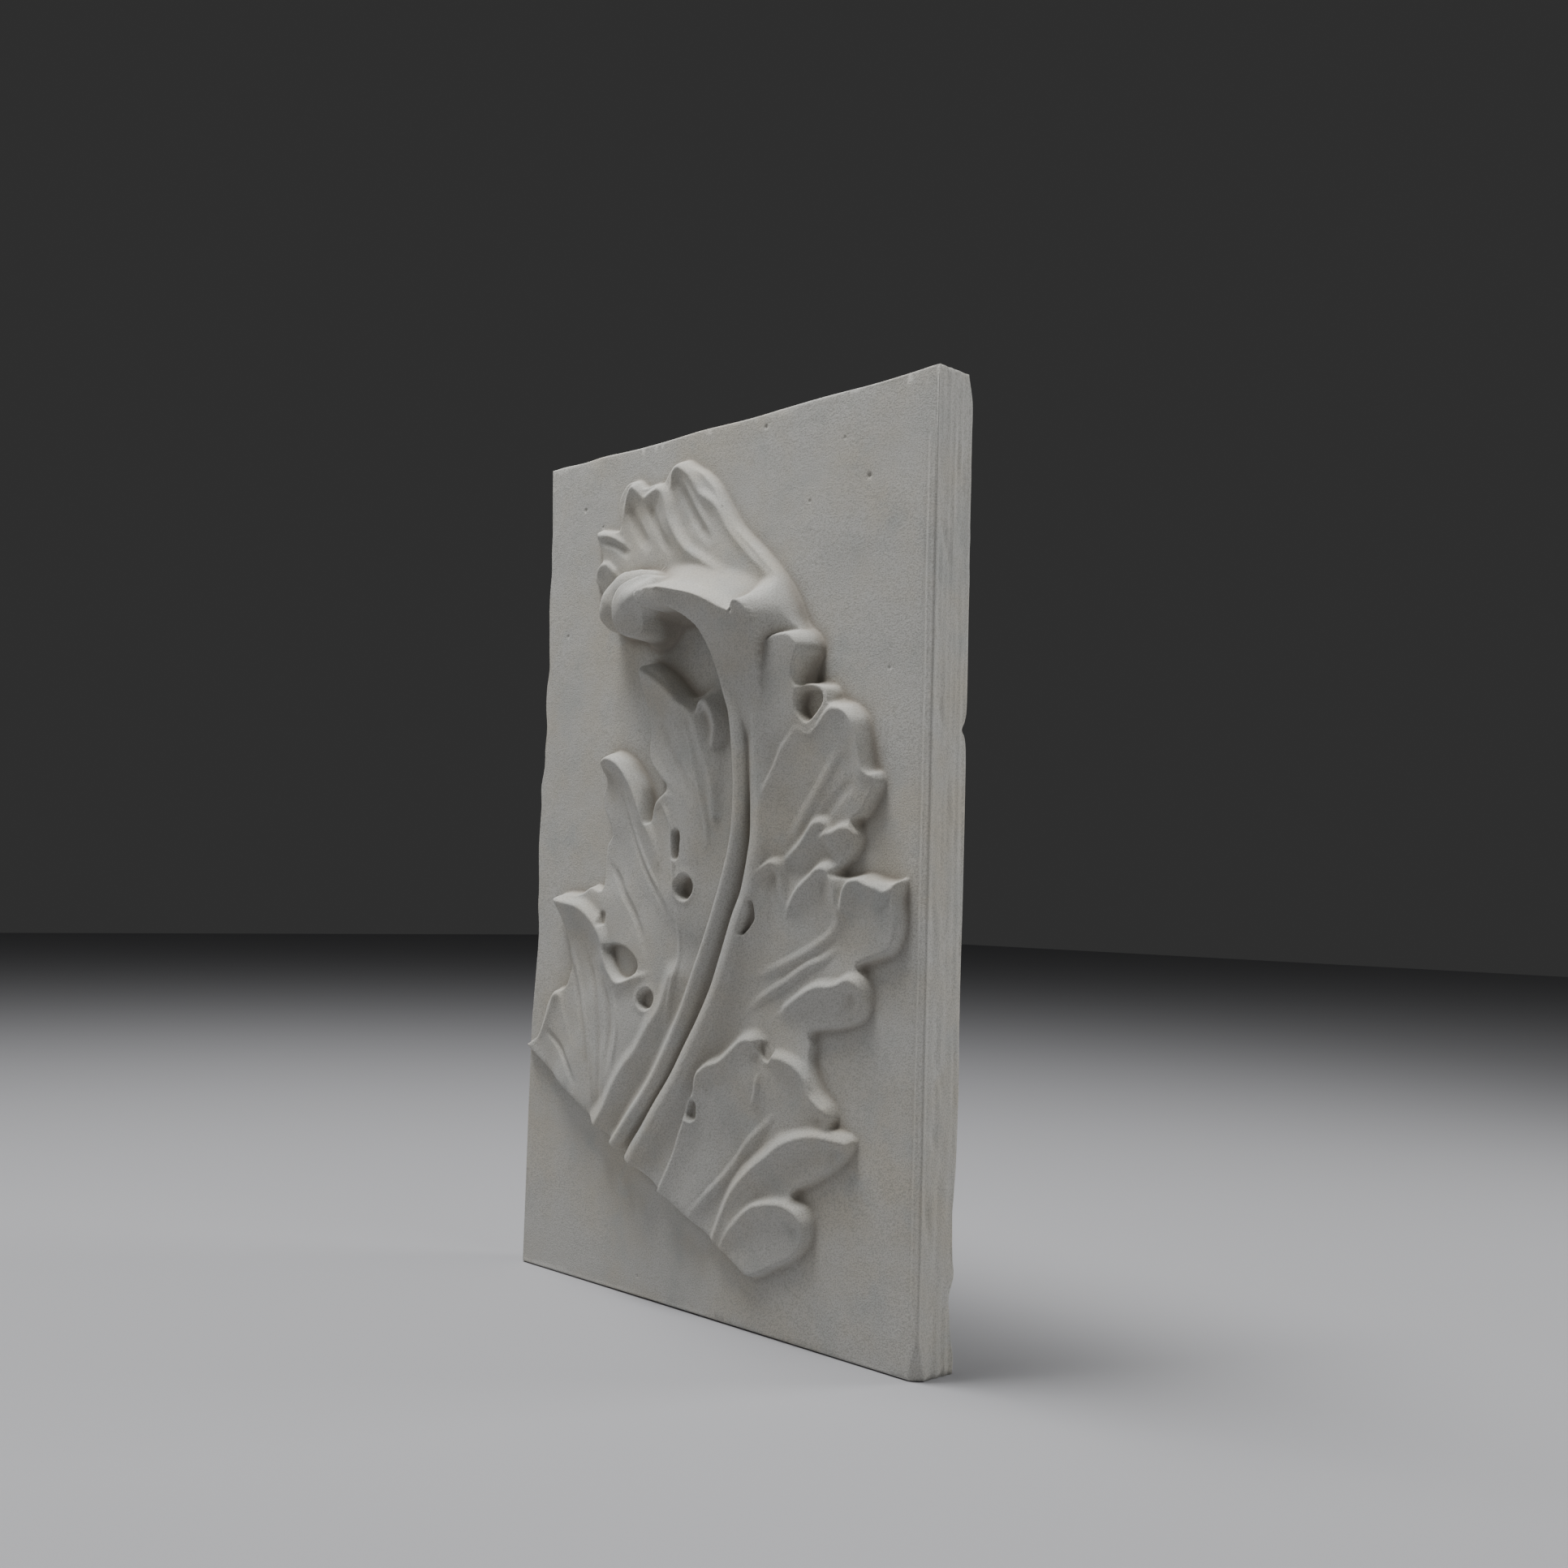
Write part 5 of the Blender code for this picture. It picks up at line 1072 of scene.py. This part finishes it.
    # How much a dent leans, over what length marks and dents fade at the arrises, and how far
    # in from the widest place a point still lies on the side
    dent_lean: float = 0.15
    mark_fade: float = 3.0
    side_depth: float = 0.6


@dataclass
class ReliefPanel:
    """The whole cast in one piece: slab and leaf, dressed in plaster."""

    slab: Slab = field(default_factory=Slab)
    leaf: AcanthusLeaf = field(default_factory=AcanthusLeaf)
    finish: CastPlaster = field(default_factory=CastPlaster)
    shape: tuple[Grid, Grid, Grid] | None = None
    # The count that the mesh is thinned to, and what keeps each edge inside the straight
    triangles: int = 190000
    inset: float = 0.05
    # The last ring of points on the back, as a share of the outline
    back_ring: float = 0.96
    # A face whose normal points this straight to the wall is part of the flat back
    flat_back: float = 0.9999
    # Dust and painted shade lie where the face is this far below the mean of its surroundings;
    # millimetres
    dust_and_shade_reach: float = 4.5
    dust_and_shade_depth: float = 4.0

    def wander(self, edge: Edge, along: Grid) -> Grid:
        """How far an edge lies in from the straight, smooth between the slab's readings."""
        rows = curve_through(self.slab.wander[edge], steps=12)
        return np.maximum(np.interp(along, rows[:, 0], rows[:, 1]), 0) + self.inset

    def face(self) -> tuple[Grid, Grid, Grid]:
        """The places and the relief's heights over the flat of the front.

        Formula: a square grid whose outer lines are drawn in by each edge's wander, a share that
        fades with the square of the distance from the edge.

        Returns:
            Across, up and height, as grids.
        """
        slab = self.slab
        half_w, half_h = slab.width / 2 - slab.arris, slab.height / 2 - slab.arris
        across = np.linspace(-half_w, half_w, round(2 * half_w / slab.step) + 1)
        up = np.linspace(-half_h, half_h, round(2 * half_h / slab.step) + 1)
        x, z = np.meshgrid(across, up)
        h = self.leaf.height(x, z) + self.ground(x, z)

        def pull(gap: Grid) -> Grid:
            """Share of the wander that a line this far from the edge takes."""
            return np.clip(1 - gap / slab.follows, 0, 1) ** 2

        moved_x = (x + self.wander(Edge.LEFT, z) * pull(x + half_w)
                   - self.wander(Edge.RIGHT, z) * pull(half_w - x))
        moved_z = (z + self.wander(Edge.FOOT, x) * pull(z + half_h)
                   - self.wander(Edge.TOP, x) * pull(half_h - z))
        return moved_x, moved_z, h

    def ground(self, x: Grid, z: Grid) -> Grid:
        """The small unevenness of the slab's face.

        Formula: rolling noise in two sizes, a bell out for each air bubble's depth, and beside
        the right arris a fin and the scratch beside it, bells of the distance to a wavy line,
        that fade towards their ends.

        Args:
            x: places across.
            z: places up.

        Returns:
            The height to add at each place.
        """
        slab = self.slab
        wide, narrow = slab.roll_spacing
        h = slab.rolling * (smooth_noise(x, z, wide, 3) + 0.3 * smooth_noise(x, z, narrow, 4) - 1)
        for across, up, radius, depth in slab.bubbles:
            h -= depth * np.exp(-((x - across) ** 2 + (z - up) ** 2) / radius ** 2)
        level = np.zeros_like(z)
        from_line = x - (slab.width / 2 - slab.fin_place) - 0.5 * smooth_noise(z, level, 60, 5)
        fade = ease((slab.fin_end - np.abs(z)) / slab.fin_fade)
        fade = fade * (0.75 + 0.25 * smooth_noise(z, level, 11, 6))
        scratch = np.exp(-((from_line + slab.scratch_aside) / slab.scratch_width) ** 2)
        return h + slab.fin * fade * (np.exp(-(from_line / slab.fin_width) ** 2) - 0.9 * scratch)

    def scrape(self, points: Grid) -> Grid:
        """Work the right side as it was scraped: long marks along it, and dents.

        Formula: the side goes in by noise that is stretched forty times along the edge, by
        noise stretched five times, and by a bell for each dent, which leans a little; all fade
        towards the two arrises.

        Args:
            points: the panel's points.

        Returns:
            The points with the side marked.
        """
        slab = self.slab
        back, up = points[:, 1] + slab.thickness, points[:, 2]
        long_marks, short_marks = slab.mark_spacing
        marks = slab.scraped * (smooth_noise(back, up / 40, long_marks, 7)
                                + 0.6 * smooth_noise(back, up / 5, short_marks, 8) + 1)
        for behind, height, length, width, depth in slab.dents:
            leaning = back - behind + (up - height) * slab.dent_lean
            marks += depth * np.exp(-(leaning / width) ** 2 - ((up - height) / length) ** 2)
        on_side = points[:, 0] > slab.width / 2 - slab.side_depth
        fade = (ease((back - slab.arris * 0.6) / slab.mark_fade)
                * ease((slab.thickness - back + 1) / slab.mark_fade))
        points[:, 0] -= marks * fade * on_side
        return points

    def surface(self) -> tuple[Grid, Grid]:
        """Points and quads of the panel but for the middle of its back, which is still open.

        Formula: rings round the front's outer line go out by the sine and back by the cosine of
        the arris's quarter turn, then straight back through the slab's thickness and a little
        in over its back; on the right the side's last run draws in by the wander of the back
        edge.

        Returns:
            The points in millimetres, and the corners of each quad.
        """
        slab = self.slab
        x, z, h = self.shape = self.face()
        rows, columns = x.shape
        points = [np.stack([x, -slab.thickness - h, z], -1).reshape(-1, 3)]
        index = np.arange(rows * columns).reshape(rows, columns)
        faces = [np.stack([index[:-1, :-1], index[:-1, 1:], index[1:, 1:], index[1:, :-1]], -1)
                 .reshape(-1, 4)]
        ring = np.concatenate([index[0, :-1], index[:-1, -1], index[-1, :0:-1], index[:0:-1, 0]])
        row, column = np.divmod(ring, columns)
        out = np.stack([(column == columns - 1) * 1.0 - (column == 0), np.zeros(len(ring)),
                        (row == rows - 1) * 1.0 - (row == 0)], -1)
        edge = points[0][ring]
        turns = np.linspace(0, math.pi / 2, slab.arris_steps + 1)[1:]
        profile = [(slab.arris * math.sin(t), slab.arris * (1 - math.cos(t))) for t in turns]
        deep = np.arange(slab.arris + slab.ring_step, slab.thickness - slab.back_arris,
                         slab.ring_step)
        profile += [(slab.arris, depth) for depth in deep]
        profile += [(slab.arris, slab.thickness - slab.back_arris),
                    (slab.arris - slab.back_arris, slab.thickness)]
        from_right = slab.width / 2 - edge[:, 0]
        chipped = (self.wander(Edge.BACK, edge[:, 2])
                   * ease((slab.chip_start - from_right) / slab.chip_run))
        count = rows * columns
        rings = [(step, behind, 1.0) for step, behind in profile]
        for step, behind, drawn_in in rings + [(0.0, slab.thickness, self.back_ring)]:
            moved = edge * drawn_in + out * step
            nearness = ease(1 - (slab.thickness - behind) / slab.side_follows) * (drawn_in == 1)
            moved[:, 1] = behind - slab.thickness - chipped * nearness
            points.append(moved)
            new_ring = np.arange(count, count + len(ring))
            count += len(ring)
            faces.append(np.stack([ring, new_ring, np.roll(new_ring, -1), np.roll(ring, -1)], -1))
            ring = new_ring
        return self.knock_corner(self.scrape(np.vstack(points))), np.vstack(faces)

    def knock_corner(self, points: Grid) -> Grid:
        """Press the front right bottom corner back to the plane of its break.

        Formula: what lies beyond the plane goes back along the plane's normal.

        Args:
            points: the panel's points.

        Returns:
            The points with the corner gone.
        """
        slab = self.slab
        corner = np.array([slab.width / 2, -slab.thickness, -slab.height / 2])
        outward = np.array(slab.corner_way) / np.linalg.norm(slab.corner_way)
        past = (points - corner) @ outward + slab.corner_loss
        return points - np.maximum(past, 0)[:, None] * outward

    def build(self) -> bpy.types.Object:
        """Make the mesh, thin it to its count of triangles, close its back and dress it.

        Returns:
            The finished piece.
        """
        points, faces = self.surface()
        mesh = bpy.data.meshes.new("plaster_relief_panel")
        mesh.vertices.add(len(points))
        mesh.vertices.foreach_set("co", (points * METRE).ravel())
        mesh.loops.add(faces.size)
        mesh.loops.foreach_set("vertex_index", faces.ravel())
        mesh.polygons.add(len(faces))
        mesh.polygons.foreach_set("loop_start", np.arange(len(faces)) * faces.shape[1])
        mesh.update(calc_edges=True)
        panel = bpy.data.objects.new("plaster_relief_panel", mesh)
        bpy.context.collection.objects.link(panel)
        thin = panel.modifiers.new("thin", "DECIMATE")
        thin.ratio = self.triangles / (2.0 * len(faces))
        evaluated = panel.evaluated_get(bpy.context.evaluated_depsgraph_get())
        thinned = bpy.data.meshes.new_from_object(evaluated)
        panel.modifiers.clear()
        panel.data = thinned
        bpy.data.meshes.remove(mesh)
        self.close_back(thinned)
        self.dress(panel)
        return panel

    def close_back(self, mesh: bpy.types.Mesh) -> None:
        """Fill the open middle of the back with flat triangles.

        Formula: the open edges bound one flat face that looks away from the relief, and it is
        cut into triangles between its own corners.

        Args:
            mesh: the panel's mesh, open at its back.
        """
        work = bmesh.new()
        work.from_mesh(mesh)
        rim = [edge for edge in work.edges if edge.is_boundary]
        back = bmesh.ops.edgeloop_fill(work, edges=rim)["faces"]
        for face in back:
            face.normal_update()
            if face.normal.y < 0:
                face.normal_flip()
        bmesh.ops.triangulate(work, faces=back)
        work.to_mesh(mesh)
        work.free()

    def dust_and_shade(self, points: Grid) -> Grid:
        """How much dust and painted shade lies at each point, from nothing to one.

        Formula: the mean height of the surroundings less the height, over the depth that holds
        the most dust and painted shade, read from the face's grid between its four nearest lines.

        Args:
            points: rows of x, y, z in millimetres.

        Returns:
            The share of dust and painted shade at each point.
        """
        x, z, h = self.shape
        sunk = blurred(h, round(self.dust_and_shade_reach / self.slab.step)) - h
        share = np.clip(sunk / self.dust_and_shade_depth, 0, 1)
        rows, columns = h.shape
        across = np.interp(points[:, 0], x[rows // 2], np.arange(columns))
        up = np.interp(points[:, 2], z[:, columns // 2], np.arange(rows))
        i, j = up.astype(int).clip(0, rows - 2), across.astype(int).clip(0, columns - 2)
        s, t = up - i, across - j
        low = share[i, j] * (1 - t) + share[i, j + 1] * t
        high = share[i + 1, j] * (1 - t) + share[i + 1, j + 1] * t
        front = points[:, 1] < -self.slab.thickness + self.slab.arris
        return (low * (1 - s) + high * s) * front

    def dress(self, panel: bpy.types.Object) -> None:
        """Shade the panel smooth but for its flat back, mark its hollows and give it the plaster.

        Args:
            panel: the finished mesh object.
        """
        mesh = panel.data
        normals = np.empty(len(mesh.polygons) * 3)
        mesh.polygons.foreach_get("normal", normals)
        mesh.polygons.foreach_set("use_smooth", normals[1::3] < self.flat_back)
        places = np.empty(len(mesh.vertices) * 3)
        mesh.vertices.foreach_get("co", places)
        # The hollow attribute carries dust and painted shade of the recesses into the material
        hollow = mesh.attributes.new("hollow", "FLOAT", "POINT")
        hollow.data.foreach_set("value", self.dust_and_shade(places.reshape(-1, 3) / METRE))
        mesh.materials.clear()
        mesh.materials.append(self.finish.build())


@dataclass
class Studio:
    """A pale floor, soft lamps and a camera where the photograph was taken; in metres."""

    # The floor lies at the panel's foot
    floor_size: float = 14.0
    floor_height: float = -0.3
    floor_colour: str = "A9A9AC"
    camera_place: tuple = (0.8169, -0.7598, -0.0206)
    azimuth: float = 45.784
    pitch: float = 3.870
    roll: float = 1.613
    lens: float = 37.18
    # Where a lamp hangs, what it is aimed at, its width and height, and its watts
    lamps: dict = field(default_factory=lambda: {
        "key": ((-0.36, -0.42, 2.0), (0, -0.05, 0), (0.9, 0.7), 64),
        "rim": ((0.9, 1.1, 0.6), (0.19, 0, 0), (0.5, 1.0), 10),
        "side": ((1.5, -0.06, 0.5), (0.19, 0, 0), (0.6, 1.2), 4),
        "fill": ((-1.0, -1.3, 1.05), (0, 0, 0), (1.0, 0.9), 6)})
    air: float = 0.035

    def camera(self) -> bpy.types.Object:
        """Place the camera.

        Formula: it looks along the azimuth turned from +Y towards -X and up by the pitch, and
        its own right and up turn about that line by the roll.

        Returns:
            The camera.
        """
        azimuth, pitch, roll = map(math.radians, (self.azimuth, self.pitch, self.roll))
        ahead = Vector((-math.sin(azimuth) * math.cos(pitch), math.cos(azimuth) * math.cos(pitch),
                        math.sin(pitch)))
        level = ahead.cross(Vector((0, 0, 1))).normalized()
        upright = level.cross(ahead)
        right = level * math.cos(roll) + upright * math.sin(roll)
        up = upright * math.cos(roll) - level * math.sin(roll)
        data = bpy.data.cameras.new("camera")
        data.sensor_width = 36
        data.lens = self.lens
        data.clip_start = 0.01
        camera = bpy.data.objects.new("camera", data)
        bpy.context.collection.objects.link(camera)
        camera.matrix_world = (Matrix.Translation(self.camera_place)
                               @ Matrix((right, up, -ahead)).transposed().to_4x4())
        bpy.context.scene.camera = camera
        return camera

    def light(self) -> None:
        """Hang the lamps, each aimed at its target, and fill the air evenly."""
        for name, (place, target, size, watts) in self.lamps.items():
            data = bpy.data.lights.new(name, "AREA")
            data.shape = "RECTANGLE"
            data.size, data.size_y = size
            data.energy = watts
            lamp = bpy.data.objects.new(name, data)
            bpy.context.collection.objects.link(lamp)
            lamp.location = place
            aim = Vector(target) - Vector(place)
            lamp.rotation_euler = aim.to_track_quat("-Z", "Y").to_euler()
        world = bpy.data.worlds.new("air")
        world.use_nodes = True
        world.node_tree.nodes["Background"].inputs["Color"].default_value = (
            self.air, self.air, self.air, 1)
        bpy.context.scene.world = world

    def floor(self) -> bpy.types.Object:
        """Lay the pale floor under the panel's foot.

        Returns:
            The floor, one square face.
        """
        half = self.floor_size / 2
        mesh = bpy.data.meshes.new("floor")
        mesh.from_pydata([(-half, -half, self.floor_height), (half, -half, self.floor_height),
                          (half, half, self.floor_height), (-half, half, self.floor_height)],
                         [], [(0, 1, 2, 3)])
        floor = bpy.data.objects.new("floor", mesh)
        bpy.context.collection.objects.link(floor)
        material = bpy.data.materials.new("floor_pale_matt")
        material.use_nodes = True
        shader = material.node_tree.nodes["Principled BSDF"]
        shader.inputs["Base Color"].default_value = linear(self.floor_colour)
        shader.inputs["Roughness"].default_value = 0.9
        mesh.materials.append(material)
        return floor


def main() -> None:
    """Build the panel and the studio in order, and report each."""
    logging.basicConfig(level=logging.INFO, format="%(name)s: %(message)s")
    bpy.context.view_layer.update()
    panel = ReliefPanel().build()
    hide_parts("relief_panel")
    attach(panel, "root")
    log.info("%s: %d triangles", panel.name, len(panel.data.polygons))
    studio = Studio()
    studio.floor()
    studio.light()
    studio.camera()
    log.info("studio: %d lamps", len(studio.lamps))


if __name__ == "__main__":
    main()
